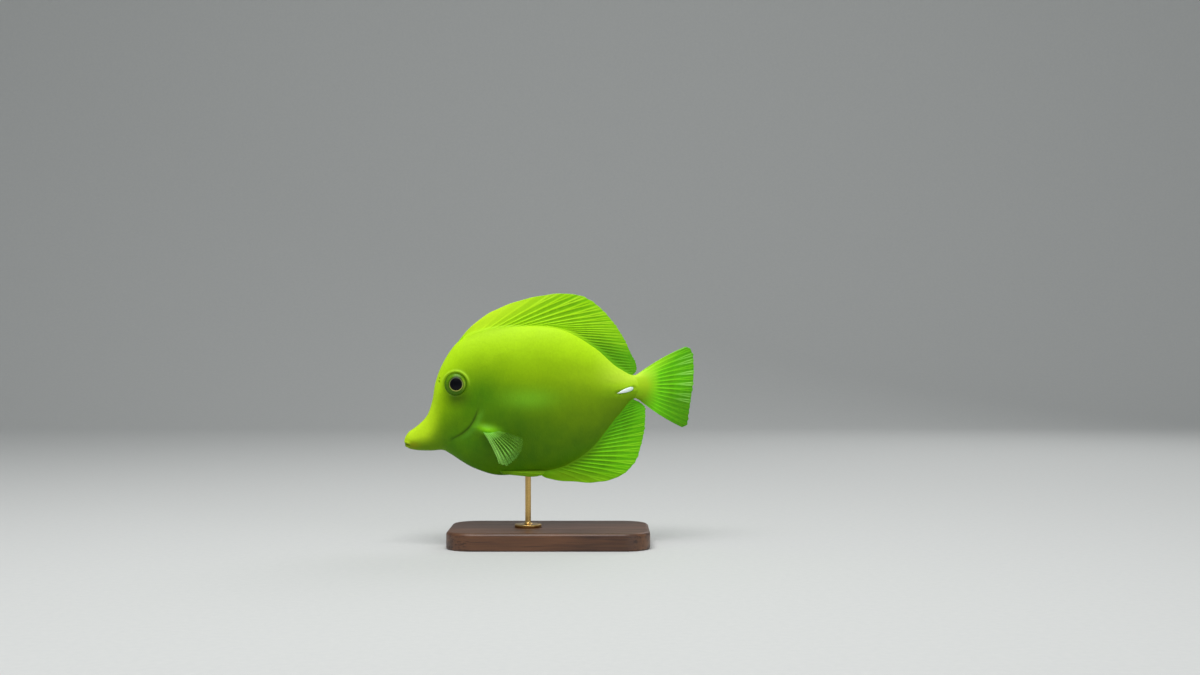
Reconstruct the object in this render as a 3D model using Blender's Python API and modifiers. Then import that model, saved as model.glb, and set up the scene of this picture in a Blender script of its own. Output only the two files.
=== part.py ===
"""A yellow tang as a life-size museum model, held over a flat base by one rod.

Metres, +Z up. The fish swims level towards -X and shows its left side to -Y. The
origin is the middle of the base's underside. The tables are in millimetres in the
fish's own frame: x from the middle of its length, y to its right, and z from the
centre line of its tail stem.
"""

import math

import bmesh
import bpy
import numpy as np
from mathutils import Matrix, Vector

MM = 0.001

# Height of the tail stem's centre line, and the clearance between pieces that meet
AXIS_HEIGHT = 82.0 * MM
GAP = 0.3

# The rear half swings to the fish's right, by this much at the tail's tip
TAIL_SWING, SWING_END = 3.0, 75.0

# Body. Each row is one slice: x and z of its top, x and z of its underside, and half
# its width. The slices lean on the steep forehead.
BODY_SLICES = np.array(
    (
        (-75.3, -24.9, -75.3, -31.8, 3.2),  # lips
        (-68.3, -20.1, -68.3, -33.1, 3.8),  # snout
        (-63.6, -15.1, -61.5, -33.3, 4.8),  # root of the snout
        (-60.9, -7.6, -55.4, -33.0, 5.9),  # bridge
        (-59.3, 1.8, -51.0, -35.2, 6.9),  # brow
        (-56.0, 10.8, -46.3, -38.3, 7.8),  # forehead
        (-47.2, 23.5, -39.4, -42.2, 9.0),  # nape
        (-35.5, 29.2, -29.3, -45.6, 9.9),  # shoulder
        (-12.1, 31.8, -11.6, -44.9, 10.2),  # middle of the back
        (7.2, 30.1, 6.8, -42.2, 9.0),  # loin
        (23.3, 21.3, 21.7, -33.2, 6.7),  # rear of the loin
        (36.8, 9.6, 36.3, -15.1, 4.2),  # run to the tail
        (44.3, 5.9, 44.3, -6.3, 3.1),  # tail stem
        (50.6, 6.8, 50.6, -6.9, 1.5),  # root of the tail fin
    )
)
TOP, UNDERSIDE, HALF_WIDTH = slice(0, 2), slice(2, 4), slice(4, 5)
SNOUT_ROUNDING, STEM_ROUNDING = 3.4, 6.5
CAP_RINGS = 4
WIDEST_SHARE = 0.48
KEEL_ROUND, KEEL_SHARP = 1.0, 1.25
KEEL_FROM, KEEL_TO, KEEL_END = 0.16, 0.36, 0.8
HEAD_SECTIONS, TRUNK_SECTIONS, BODY_SIDES = 40, 44, 32

# Rear edge of the gill cover, which parts the head from the trunk
GILL_LINE = (
    (-51.0, 33.0),
    (-46.3, 23.8),
    (-39.6, 12.0),
    (-36.2, 0.6),
    (-36.0, -8.0),
    (-37.6, -14.2),
    (-40.8, -20.0),
    (-45.0, -23.8),
    (-49.6, -26.6),
    (-52.8, -29.8),
    (-54.4, -34.5),
    (-55.2, -39.0),
)
GILL_RISE, GILL_REACH = 0.6, 4.0
GILL_HOLLOW, HOLLOW_REACH = 0.35, 3.0
GILL_TOP, GILL_LOW, GILL_FADE = -1.0, -29.0, 5.0
STEM_CUT = 33.0

# Eyes and nostrils: places in the side view
EYE_PLACE = (-48.3, 1.5)
EYE_RADIUS, EYE_DEPTH, EYE_SINK = 6.3, 3.4, 1.9
ORBIT_RADIUS, ORBIT_THICKNESS, ORBIT_SINK = 6.7, 0.8, 0.25
NOSTRILS = ((-56.9, 4.4, 0.45), (-57.0, 2.6, 0.55))
NOSTRIL_DEPTH = 1.2

# Mouth: a slit from the tip of the snout to its corner, between two lips. A lip has its
# height over the slit and its reach past the slit's tip.
MOUTH_TIP, MOUTH_CORNER = np.array((-75.3, -29.4)), np.array((-71.6, -30.6))
MOUTH_GAP = 0.45
LIPS = (("upper lip", 0.95, 0.05), ("lower lip", -0.95, -0.75))
LIP_TIP, LIP_CORNER, LIP_SINK = 0.95, 0.45, 0.55

# Folded white blade on each side of the tail stem. The profile has shares of half the
# blade's width and of its length, from the tip that points forward.
BLADE_TIP, BLADE_HEEL = (35.2, -3.5), (44.0, -0.1)
BLADE_PROFILE = ((0.0, 0.0), (0.42, 0.28), (0.9, 0.62), (1.0, 0.84), (0.64, 0.97), (0.0, 1.0))
BLADE_HALF_WIDTH, BLADE_FLATNESS, BLADE_SINK = 0.95, 0.62, 0.1
BLADE_SIDES = 10

# Fins. An edge is the outline through the tips of the rays. A sweep pairs a share of
# the fin's base with the share of its edge that the ray from there runs to.
DORSAL_BASE = (-44.6, 42.0)
DORSAL_EDGE = (
    (-44.3, 26.6),
    (-36.0, 35.1),
    (-27.2, 40.3),
    (-16.3, 44.5),
    (-3.8, 47.4),
    (8.7, 48.4),
    (17.0, 47.1),
    (24.8, 42.6),
    (32.1, 35.1),
    (38.4, 26.0),
    (43.0, 16.4),
    (45.5, 8.7),
)
DORSAL_SWEEP = ((0.0, 0.0), (0.10, 0.22), (0.22, 0.50), (0.35, 0.67), (0.65, 0.83), (1.0, 1.0))
DORSAL_SPINES, DORSAL_RAYS = 5, 24
ANAL_BASE = (-4.3, 43.4)
ANAL_EDGE = (
    (-3.4, -45.6),
    (2.0, -47.6),
    (11.8, -49.1),
    (24.3, -49.8),
    (32.6, -48.4),
    (39.9, -44.7),
    (45.1, -38.7),
    (48.0, -30.4),
    (49.7, -20.0),
    (49.2, -13.0),
    (46.3, -9.0),
)
ANAL_SWEEP = ((0.0, 0.0), (0.12, 0.35), (0.34, 0.62), (0.66, 0.85), (1.0, 1.0))
ANAL_SPINES, ANAL_RAYS = 3, 20
TAIL_SUNK = ((41.5, 3.9), (45.5, 2.4), (46.5, -0.1), (45.5, -2.6), (42.0, -4.2))
TAIL_ROOT = ((45.9, 6.5), (49.6, 4.4), (51.0, 0.0), (49.8, -4.4), (46.8, -7.1))
TAIL_EDGE = (
    (71.8, 20.6),
    (74.3, 18.4),
    (75.4, 11.5),
    (75.3, 4.0),
    (74.5, -3.0),
    (73.3, -10.5),
    (71.6, -18.6),
    (69.4, -21.2),
)
TAIL_RAYS = 16
TAIL_BOW = 1.0

# Pectoral fins, and the fleshy shoulder that each grows from: along, up and out
PECTORAL_SUNK = ((-36.0, 7.4, -20.6), (-28.6, 8.0, -20.0))
PECTORAL_ROOT = ((-33.8, 10.4, -23.2), (-26.4, 10.2, -22.9))
PECTORAL_EDGE = (
    (-24.8, 24.6, -38.3),
    (-21.2, 24.8, -39.2),
    (-16.6, 23.2, -36.4),
    (-13.4, 20.4, -31.6),
    (-12.6, 17.6, -26.4),
)
PECTORAL_RAYS = 14
PECTORAL_BOW = (0.8, 1.6, 0.4)
SHOULDER_PLACE, SHOULDER_RADII, SHOULDER_SINK = (-32.6, -21.7), (5.8, 2.0, 1.7), 0.5

# Pelvic fins, folded back along the keel of the belly
PELVIC_SUNK = ((-28.2, 1.4, -42.2), (-26.4, 1.0, -43.4))
PELVIC_ROOT = ((-24.4, 3.1, -43.6), (-23.4, 2.5, -45.3))
PELVIC_EDGE = ((-2.0, 3.6, -44.0), (-2.4, 3.5, -45.0), (-5.0, 3.1, -46.2), (-9.5, 2.7, -46.7))
PELVIC_RAYS = 6
PELVIC_BOW = (0.0, 0.35, 0.0)

# How thick the fins are: rays at their roots, rays at the edge, and the web between
MEDIAN_ROOT, TAIL_THICK, PECTORAL_THICK, PELVIC_THICK = 1.9, 2.2, 1.8, 1.0
RAY_EDGE, RAY_SWELL, RAY_TAPER = 0.55, 0.35, 1.6
WEB_SHARE, WEB_LEAST, WEB_THINNING = 0.58, 0.5, 0.25
CREST_REACH = 0.3
ROOT_DEPTH = 2.0
EDGE_NOTCH, PAIRED_NOTCH = 0.35, 0.25

# Stand
BASE_SIZE = (104 * MM, 62 * MM, 9 * MM)
BASE_CORNER, BASE_ROUNDING = 14 * MM, 1.8 * MM
ROD_PLACE = -11.0 * MM
ROD_RADIUS, ROD_DEPTH = 1.5 * MM, 3.0 * MM
FLANGE_RADIUS, FLANGE_THICKNESS, FLANGE_FILLET, FLANGE_EDGE = 7 * MM, 1.6 * MM, 1.6 * MM, 0.4 * MM
ROD_SIDES = 24


def ease(x):
    """0 below 0, 1 above 1, smooth between."""
    x = np.clip(x, 0, 1)
    return x * x * (3 - 2 * x)


def spline(knots, measured=slice(None)):
    """A smooth curve through the knots, as a function of the share 0 to 1 of its chords."""
    knots = np.asarray(knots, float)
    chords = np.linalg.norm(np.diff(knots[:, measured], axis=0), axis=1)
    places = np.concatenate([[0], np.cumsum(chords)]) / chords.sum()
    slopes = np.gradient(knots, places, axis=0)

    def at(shares):
        shares = np.atleast_1d(shares)
        i = np.clip(np.searchsorted(places, shares, side="right") - 1, 0, len(places) - 2)
        span = (places[i + 1] - places[i])[:, None]
        t = (shares - places[i])[:, None] / span
        ends = (2 * t**3 - 3 * t**2 + 1) * knots[i] + (3 * t**2 - 2 * t**3) * knots[i + 1]
        bend = (t**3 - 2 * t**2 + t) * slopes[i] + (t**3 - t**2) * slopes[i + 1]
        return ends + span * bend

    return at


BODY = spline(BODY_SLICES, slice(0, 4))
BODY_LENGTH = 0.5 * sum(
    np.linalg.norm(np.diff(BODY_SLICES[:, side], axis=0), axis=1).sum() for side in (TOP, UNDERSIDE)
)


def unit(vector):
    return np.asarray(vector, float) / np.linalg.norm(vector)


def gill_distance(x, z):
    """How far ahead of the gill cover's rear edge a place is, negative behind it."""
    line = spline(GILL_LINE)(np.linspace(0, 1, 120))
    away = np.stack([x, z], axis=-1)[..., None, :] - line
    nearest = np.linalg.norm(away, axis=-1).argmin(axis=-1)
    away = np.take_along_axis(away, nearest[..., None, None], axis=-2)[..., 0, :]
    along = np.gradient(line, axis=0)
    along = (along / np.linalg.norm(along, axis=1)[:, None])[nearest]
    return away[..., 0] * along[..., 1] - away[..., 1] * along[..., 0]


def body_points(shares, angles, covered):
    """The skin at shares of the body's length and angles round each slice, from its top.

    A slice's half width falls from its widest line as a power of the sine, which gives
    the back and belly a keel, and shrinks like the end of an ellipse at both tips. The
    gill cover swells towards its rear edge, and the trunk is hollowed behind it.
    """
    rows = BODY(shares)
    along = shares * BODY_LENGTH
    front = 1 - np.clip(along / SNOUT_ROUNDING, 0, 1)
    rear = 1 - np.clip((BODY_LENGTH - along) / STEM_ROUNDING, 0, 1)
    shrink = np.sqrt((1 - front**2) * (1 - rear**2))[:, None, None]
    top, low = rows[:, None, TOP], rows[:, None, UNDERSIDE]
    middle = (top + low) / 2
    top, low = middle + (top - middle) * shrink, middle + (low - middle) * shrink
    widest = low + WIDEST_SHARE * (top - low)
    up, out = np.cos(angles)[None, :, None], np.sin(angles)[None, :]
    flat = widest + np.where(up > 0, (top - widest) * up, (low - widest) * -up)
    x, z = flat[..., 0], flat[..., 1]
    sharp = ease((shares - KEEL_FROM) / (KEEL_TO - KEEL_FROM)) * ease((1 - shares) / (1 - KEEL_END))
    keel = (KEEL_ROUND + (KEEL_SHARP - KEEL_ROUND) * sharp)[:, None]
    half = rows[:, HALF_WIDTH] * shrink[..., 0] * np.abs(out) ** keel
    ahead = gill_distance(x, z)
    shown = ease((GILL_TOP - z) / GILL_FADE) * ease((z - GILL_LOW) / GILL_FADE) * np.abs(out)
    rise = GILL_RISE * np.exp(-np.clip(ahead, 0, None) / GILL_REACH)
    hollow = -GILL_HOLLOW * np.exp(-np.abs(ahead) / HOLLOW_REACH)
    half = half + shown * (rise if covered else hollow)
    return np.stack([x, -np.sign(out) * half, z], axis=-1)


def placed(points):
    """Fish millimetres to metres, with the tail swung to the side and the fish hung up."""
    points = np.array(points, float)
    points[..., 1] += TAIL_SWING * np.clip(points[..., 0] / SWING_END, 0, None) ** 2
    points *= MM
    points[..., 2] += AXIS_HEIGHT
    return points


def flank(x, z):
    """Distance of the flank from the middle plane at a place in the side view."""
    shares, angles = np.linspace(0.01, 0.99, 300), np.linspace(0.02, math.pi - 0.02, 120)
    skin = body_points(shares, angles, False).reshape(-1, 3)
    away = np.linalg.norm(skin[:, [0, 2]] - (x, z), axis=1)
    near = np.argsort(away)[:4]
    return float(np.average(-skin[near, 1], weights=1 / (away[near] + 0.01)))


def outward(x, z, side):
    """Unit normal of the flank there, with side -1 for the fish's left and 1 for its right."""
    step = 1.5
    by_x = (flank(x + step, z) - flank(x - step, z)) / (2 * step)
    by_z = (flank(x, z + step) - flank(x, z - step)) / (2 * step)
    return unit((-by_x, side, -by_z))


def clear_scene():
    for thing in list(bpy.data.objects):
        bpy.data.objects.remove(thing)


def collection(name):
    made = bpy.data.collections.new(name)
    bpy.context.scene.collection.children.link(made)
    return made


def material(name, colour, roughness, metallic=0.0):
    made = bpy.data.materials.new(name)
    made.use_nodes = True
    shader = made.node_tree.nodes["Principled BSDF"]
    shader.inputs["Base Color"].default_value = (*colour, 1)
    shader.inputs["Roughness"].default_value = roughness
    shader.inputs["Metallic"].default_value = metallic
    return made


def add_object(name, mesh, group, finish=None):
    made = bpy.data.objects.new(name, mesh)
    group.objects.link(made)
    if finish:
        mesh.materials.append(finish)
        mesh.shade_smooth()
        mesh.set_sharp_from_angle(angle=math.radians(35))
    return made


def add_cutter(name, mesh, group):
    made = add_object(name, mesh, group)
    made.hide_render = True
    made.display_type = "WIRE"
    return made


def mesh_of(name, points, faces):
    mesh = bpy.data.meshes.new(name)
    mesh.from_pydata([tuple(p) for p in points], [], [tuple(f) for f in faces])
    mesh.update()
    return mesh


def mesh_from(name, shape):
    """A mesh of the bmesh, welded, with its faces turned outwards."""
    bmesh.ops.remove_doubles(shape, verts=shape.verts, dist=1e-6)
    bmesh.ops.recalc_face_normals(shape, faces=shape.faces)
    mesh = bpy.data.meshes.new(name)
    shape.to_mesh(mesh)
    shape.free()
    return mesh


def mesh_of_curve(name, curve):
    guide = bpy.data.objects.new(name, curve)
    bpy.context.scene.collection.objects.link(guide)
    bpy.context.view_layer.update()
    graph = bpy.context.evaluated_depsgraph_get()
    shape = bmesh.new()
    shape.from_mesh(bpy.data.meshes.new_from_object(guide.evaluated_get(graph)))
    bpy.data.objects.remove(guide)
    return mesh_from(name, shape)


def ball_mesh(name, radii, segments, rings):
    shape = bmesh.new()
    bmesh.ops.create_uvsphere(shape, u_segments=segments, v_segments=rings, radius=MM)
    bmesh.ops.scale(shape, vec=radii, verts=shape.verts)
    return mesh_from(name, shape)


def ring_mesh(name, radius, thickness, steps=24, sides=8):
    """A torus about Z."""
    turn, roll = np.meshgrid(
        np.arange(steps) * 2 * math.pi / steps, np.arange(sides) * 2 * math.pi / sides, indexing="ij"
    )
    reach = radius + thickness * np.cos(roll)
    points = np.stack([reach * np.cos(turn), reach * np.sin(turn), thickness * np.sin(roll)], axis=-1)
    faces = [
        [(i + di) % steps * sides + (j + dj) % sides for di, dj in ((0, 0), (1, 0), (1, 1), (0, 1))]
        for i in range(steps)
        for j in range(sides)
    ]
    return mesh_of(name, points.reshape(-1, 3) * MM, faces)


def tube_mesh(name, path, radii):
    """A round tube through a path in metres, of its own radius at each point."""
    curve = bpy.data.curves.new(name, "CURVE")
    curve.dimensions = "3D"
    curve.bevel_depth = MM
    curve.bevel_resolution = 2
    curve.use_fill_caps = True
    line = curve.splines.new("POLY")
    line.points.add(len(path) - 1)
    for point, place, radius in zip(line.points, path, radii):
        point.co = (*place, 1)
        point.radius = radius
    return mesh_of_curve(name, curve)


def slab(name, outline, group):
    """A side-view outline as a cutter that runs right through the fish."""
    curve = bpy.data.curves.new(name, "CURVE")
    curve.dimensions = "2D"
    curve.fill_mode = "BOTH"
    curve.extrude = 40 * MM
    line = curve.splines.new("POLY")
    line.points.add(len(outline) - 1)
    for point, (x, z) in zip(line.points, outline):
        point.co = (x * MM, z * MM + AXIS_HEIGHT, 0, 1)
    line.use_cyclic_u = True
    mesh = mesh_of_curve(name, curve)
    mesh.transform(Matrix.Rotation(math.pi / 2, 4, "X"))
    return add_cutter(name, mesh, group)


def boolean(target, other, operation):
    made = target.modifiers.new(f"{operation} {other.name}", "BOOLEAN")
    made.operation = operation
    made.object = other
    made.solver = "EXACT"


def face_along(thing, place, direction):
    """Puts a piece at a fish place, with its Z axis along that direction and its Y axis up."""
    thing.location = placed(place)
    thing.rotation_mode = "QUATERNION"
    thing.rotation_quaternion = Vector(direction).to_track_quat("Z", "Y")


def turned(name, profile):
    """A profile of (radius, height) in metres, from its top down, for a Screw about Z."""
    mesh = bpy.data.meshes.new(name)
    edges = [(i, i + 1) for i in range(len(profile) - 1)]
    mesh.from_pydata([(r, 0, h) for r, h in profile], edges, [])
    return mesh


def add_screw(thing, steps):
    screw = thing.modifiers.new("turn", "SCREW")
    screw.steps = steps
    screw.render_steps = steps
    screw.use_merge_vertices = True
    screw.merge_threshold = 1e-5


def body_mesh(name, sections, covered):
    """Closed loft of the body: rings of points, with one point at each tip."""
    cap = 1 - np.cos(np.linspace(0, math.pi / 2, CAP_RINGS + 2)[1:-1])
    front, rear = SNOUT_ROUNDING / BODY_LENGTH, STEM_ROUNDING / BODY_LENGTH
    inner = np.linspace(front, 1 - rear, sections)
    shares = np.concatenate([cap * front, inner, 1 - cap[::-1] * rear])
    angles = np.arange(BODY_SIDES) * 2 * math.pi / BODY_SIDES
    rings = body_points(shares, angles, covered)
    tips = body_points(np.array([0.0, 1.0]), angles[:1], covered)[:, 0]
    faces = []
    for i in range(len(shares) - 1):
        for j in range(BODY_SIDES):
            a, b, k = i * BODY_SIDES, (i + 1) * BODY_SIDES, (j + 1) % BODY_SIDES
            faces.append((a + j, b + j, b + k, a + k))
    nose, last = len(shares) * BODY_SIDES, (len(shares) - 1) * BODY_SIDES
    for j in range(BODY_SIDES):
        k = (j + 1) % BODY_SIDES
        faces.append((nose, j, k))
        faces.append((nose + 1, last + k, last + j))
    shape = bmesh.new()
    shape.from_mesh(mesh_of(name, placed(np.concatenate([rings.reshape(-1, 3), tips])), faces))
    return mesh_from(name, shape)


def add_body(group, cutters, finish):
    """Head, trunk and tail stem: lofts of one body, parted by thin cuts."""
    gill = spline(GILL_LINE)(np.linspace(0, 1, 34))
    behind = gill + (GAP, 0)
    far = 100
    head_area = [*gill, (-far, gill[-1][1]), (-far, gill[0][1])]
    trunk_area = [*behind, (STEM_CUT, -far), (STEM_CUT, far)]
    stem_area = [(STEM_CUT + GAP, far), (far, far), (far, -far), (STEM_CUT + GAP, -far)]
    whole = body_mesh("body", TRUNK_SECTIONS, False)
    head = add_object("head", body_mesh("head", HEAD_SECTIONS, True), group, finish)
    trunk = add_object("trunk", whole.copy(), group, finish)
    stem = add_object("tail_stem", whole.copy(), group, finish)
    boolean(head, slab("head area", head_area, cutters), "INTERSECT")
    boolean(trunk, slab("trunk area", trunk_area, cutters), "INTERSECT")
    boolean(stem, slab("stem area", stem_area, cutters), "INTERSECT")
    clearance = add_cutter("body clearance", whole, cutters)
    swell = clearance.modifiers.new("swell", "DISPLACE")
    swell.strength = GAP * MM
    swell.mid_level = 0
    return head, trunk, stem, clearance


def add_mouth(head, cutters):
    """Two lips run round the tip of the snout, with the slit of the mouth between them."""
    run = unit(MOUTH_TIP - MOUTH_CORNER)
    across = np.array([run[1], -run[0]])
    length, width = np.linalg.norm(MOUTH_TIP - MOUTH_CORNER), flank(*MOUTH_CORNER) - LIP_SINK
    angles = np.radians(np.arange(-90, 91, 15))
    for name, height, reach in LIPS:
        forward = np.cos(angles)
        side = MOUTH_CORNER + across * height + np.outer(forward * (length + reach - LIP_SINK), run)
        path = placed(np.stack([side[:, 0], width * np.sin(angles), side[:, 1]], axis=-1))
        radii = LIP_CORNER + (LIP_TIP - LIP_CORNER) * forward
        boolean(head, add_cutter(name, tube_mesh(name, path, radii), cutters), "UNION")
    slit_length, slit_width = length + 2, 20
    shape = bmesh.new()
    bmesh.ops.create_cube(shape, size=MM)
    bmesh.ops.scale(shape, vec=(slit_length, slit_width, MOUTH_GAP), verts=shape.verts)
    slit = add_cutter("mouth slit", mesh_from("mouth slit", shape), cutters)
    middle = MOUTH_CORNER + run * slit_length / 2
    slit.location = placed((middle[0], 0, middle[1]))
    slit.rotation_euler = (0, -math.atan2(run[1], run[0]), 0)
    boolean(head, slit, "DIFFERENCE")


def add_eyes(head, group, cutters, finish):
    """Each eye is a flattened ball in a socket, ringed by the raised rim of the orbit."""
    x, z = EYE_PLACE
    for name, side in (("left_eye", -1), ("right_eye", 1)):
        surface, normal = np.array([x, side * flank(x, z), z]), outward(x, z, side)
        rim = add_cutter(name + " rim", ring_mesh(name, ORBIT_RADIUS, ORBIT_THICKNESS), cutters)
        face_along(rim, surface - ORBIT_SINK * normal, normal)
        boolean(head, rim, "UNION")
        radii = np.array([EYE_RADIUS, EYE_RADIUS, EYE_DEPTH])
        eye = add_object(name, ball_mesh(name, radii, 22, 12), group, finish)
        socket = add_cutter(name + " socket", ball_mesh(name, radii + GAP, 22, 12), cutters)
        for ball in (eye, socket):
            face_along(ball, surface - EYE_SINK * normal, normal)
        boolean(head, socket, "DIFFERENCE")


def add_nostrils(head, cutters):
    for x, z, radius in NOSTRILS:
        for side in (-1, 1):
            pit = ball_mesh("nostril", (radius, radius, NOSTRIL_DEPTH), 10, 6)
            cutter = add_cutter(f"nostril {x} {side}", pit, cutters)
            face_along(cutter, (x, side * flank(x, z), z), outward(x, z, side))
            boolean(head, cutter, "DIFFERENCE")


def add_shoulders(trunk, cutters):
    """The fleshy bases of the pectoral fins. Returns what the fins have to stay clear of."""
    x, z = SHOULDER_PLACE
    rooms = []
    for name, side in (("left shoulder", -1), ("right shoulder", 1)):
        normal = outward(x, z, side)
        place = np.array([x, side * flank(x, z), z]) - SHOULDER_SINK * normal
        radii = np.array(SHOULDER_RADII)
        shoulder = add_cutter(name, ball_mesh(name, radii, 16, 10), cutters)
        room = add_cutter(name + " room", ball_mesh(name, radii + GAP, 16, 10), cutters)
        for ball in (shoulder, room):
            face_along(ball, place, normal)
        boolean(trunk, shoulder, "UNION")
        rooms.append(room)
    return rooms


def fin_sheet(name, lines, rays, rows, thickness, notch, bow=lambda shares: 0):
    """A fin as one sheet, thickened, with its rays raised on both faces.

    The lines give its sunk edge, its root and its outer edge. Each column of points runs
    straight from root to edge, plus a bow that is widest half way. Thickness is a vertex
    weight: full on a ray's crest, less on the web between, and thinner outwards.
    """
    pitch = 1 / (rays - 1)
    crests = np.arange(rays) * pitch
    shares = np.sort(np.concatenate([crests, crests[:-1] + 0.3 * pitch, crests[1:] - 0.3 * pitch]))
    phase = np.abs(shares / pitch - np.round(shares / pitch))
    crest = 1 - ease(phase / CREST_REACH)
    sunk, start, end = (line(shares) for line in lines)
    reach = end - start
    end = end - reach / np.linalg.norm(reach, axis=1)[:, None] * notch * (1 - crest)[:, None]
    points, weights = [sunk], [np.ones(len(shares))]
    for t in rows:
        points.append(start + (end - start) * t + 4 * t * (1 - t) * bow(shares))
        ray = RAY_EDGE + (thickness - RAY_EDGE) * (1 - t) ** RAY_TAPER + RAY_SWELL * (1 - t)
        web = max(WEB_LEAST * (1 - WEB_THINNING * t), WEB_SHARE * ray)
        weights.append((web + (ray - web) * crest) / thickness)
    width = len(shares)
    faces = []
    for i in range(len(rows)):
        for j in range(width - 1):
            a, b = i * width + j, (i + 1) * width + j
            faces += [(a, a + 1, b + 1), (a, b + 1, b)]
    fin = bpy.data.objects.new(name, mesh_of(name, placed(np.concatenate(points)), faces))
    group = fin.vertex_groups.new(name="thickness")
    for i, weight in enumerate(np.clip(np.concatenate(weights), 0, 1)):
        group.add([i], float(weight), "REPLACE")
    shell = fin.modifiers.new("thickness", "SOLIDIFY")
    shell.thickness = thickness * MM
    shell.offset = 0
    shell.vertex_group = group.name
    shell.thickness_vertex_group = 0
    return fin


def in_middle_plane(line):
    """The side-view line as a line of points in the middle plane."""
    return lambda shares: np.insert(line(shares), 1, 0, axis=1)


def fin_base(side, span, depth):
    """The back's or belly's outline between two x places, at even shares, and that deep in."""
    outline = BODY(np.linspace(0, 1, 600))[:, side]
    outline = outline[(outline[:, 0] > span[0]) & (outline[:, 0] < span[1])]
    along = np.gradient(outline, axis=0)
    along /= np.linalg.norm(along, axis=1)[:, None]
    inwards = np.stack([along[:, 1], -along[:, 0]], axis=-1) * (1 if side == TOP else -1)
    lengths = np.linalg.norm(np.diff(outline, axis=0), axis=1)
    places = np.concatenate([[0], np.cumsum(lengths)]) / lengths.sum()
    outline = outline + depth * inwards
    return lambda shares: np.stack([np.interp(shares, places, c) for c in outline.T], axis=-1)


def swept(edge, sweep):
    """The fin's edge at the place that the ray from each share of the base runs to."""
    outline, pairs = spline(edge), spline(sweep, slice(0, 1))
    return lambda shares: outline(pairs(shares)[:, 1])


def add_fin(fin, group, finish, rooms):
    """Puts a fin in the model, trimmed clear of what it grows from."""
    group.objects.link(fin)
    fin.data.materials.append(finish)
    for room in rooms:
        boolean(fin, room, "DIFFERENCE")


def add_median_fins(group, clearance, finish):
    fins = (
        ("dorsal_fin", TOP, DORSAL_BASE, DORSAL_EDGE, DORSAL_SWEEP, DORSAL_SPINES + DORSAL_RAYS),
        ("anal_fin", UNDERSIDE, ANAL_BASE, ANAL_EDGE, ANAL_SWEEP, ANAL_SPINES + ANAL_RAYS),
    )
    for name, side, span, edge, sweep, rays in fins:
        lines = (fin_base(side, span, ROOT_DEPTH), fin_base(side, span, 0), swept(edge, sweep))
        lines = [in_middle_plane(line) for line in lines]
        fin = fin_sheet(name, lines, rays, (0.0, 0.4, 1.0), MEDIAN_ROOT, EDGE_NOTCH)
        add_fin(fin, group, finish, [clearance])


def add_tail_fin(group, clearance, finish):
    lines = [in_middle_plane(spline(knots)) for knots in (TAIL_SUNK, TAIL_ROOT, TAIL_EDGE)]
    rows = (0.0, 0.3, 0.65, 1.0)
    fin = fin_sheet(
        "tail_fin",
        lines,
        TAIL_RAYS,
        rows,
        TAIL_THICK,
        EDGE_NOTCH,
        bow=lambda shares: np.outer(TAIL_BOW * (1 - 2 * shares), (0, 0, 1)),
    )
    add_fin(fin, group, finish, [clearance])


def add_paired_fins(group, clearance, shoulders, clear_finish, finish):
    pectoral = (PECTORAL_SUNK, PECTORAL_ROOT, PECTORAL_EDGE), PECTORAL_RAYS, PECTORAL_THICK, PECTORAL_BOW
    pelvic = (PELVIC_SUNK, PELVIC_ROOT, PELVIC_EDGE), PELVIC_RAYS, PELVIC_THICK, PELVIC_BOW
    for side, prefix in enumerate(("left_", "right_")):
        mirror = (1, (-1, 1)[side], 1)
        kinds = (
            ("pectoral_fin", pectoral, clear_finish, [clearance, shoulders[side]]),
            ("pelvic_fin", pelvic, finish, [clearance]),
        )
        for kind, (knots, rays, thickness, bow), look, rooms in kinds:
            lines = [spline(np.array(line) * mirror) for line in knots]
            bulge = np.array(bow) * mirror
            fin = fin_sheet(
                prefix + kind,
                lines,
                rays,
                (0.0, 0.35, 0.7, 1.0),
                thickness,
                PAIRED_NOTCH,
                bow=lambda shares, bulge=bulge: bulge,
            )
            add_fin(fin, group, look, rooms)


def add_blades(stem, group, cutters, finish):
    """The folded blades lie in grooves of the stem, tips forward."""
    length = math.dist(BLADE_TIP, BLADE_HEEL)
    for name, side in (("left_tail_blade", -1), ("right_tail_blade", 1)):
        places = [(x, side * (flank(x, z) - BLADE_SINK), z) for x, z in (BLADE_TIP, BLADE_HEEL)]
        tip, heel = (Vector(placed(place)) for place in places)
        back = (tip - heel).normalized()
        outer = Vector((0, side, 0))
        outer = (outer - outer.dot(back) * back).normalized()
        turn = Matrix((outer.cross(back), outer, back)).transposed().to_4x4()
        flat = Matrix.Diagonal((1, BLADE_FLATNESS, 1, 1))
        for label, room in ((name, 0), (name + " groove", GAP)):
            profile = [
                (
                    (BLADE_HALF_WIDTH * wide + room * (wide > 0)) * MM,
                    (length * (1 - far) + room * (1 - 2 * far)) * MM,
                )
                for wide, far in BLADE_PROFILE
            ]
            mesh = turned(label, profile)
            piece = add_cutter(label, mesh, cutters) if room else add_object(label, mesh, group, finish)
            add_screw(piece, BLADE_SIDES)
            piece.matrix_world = Matrix.Translation(heel) @ turn @ flat
        boolean(stem, piece, "DIFFERENCE")


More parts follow.
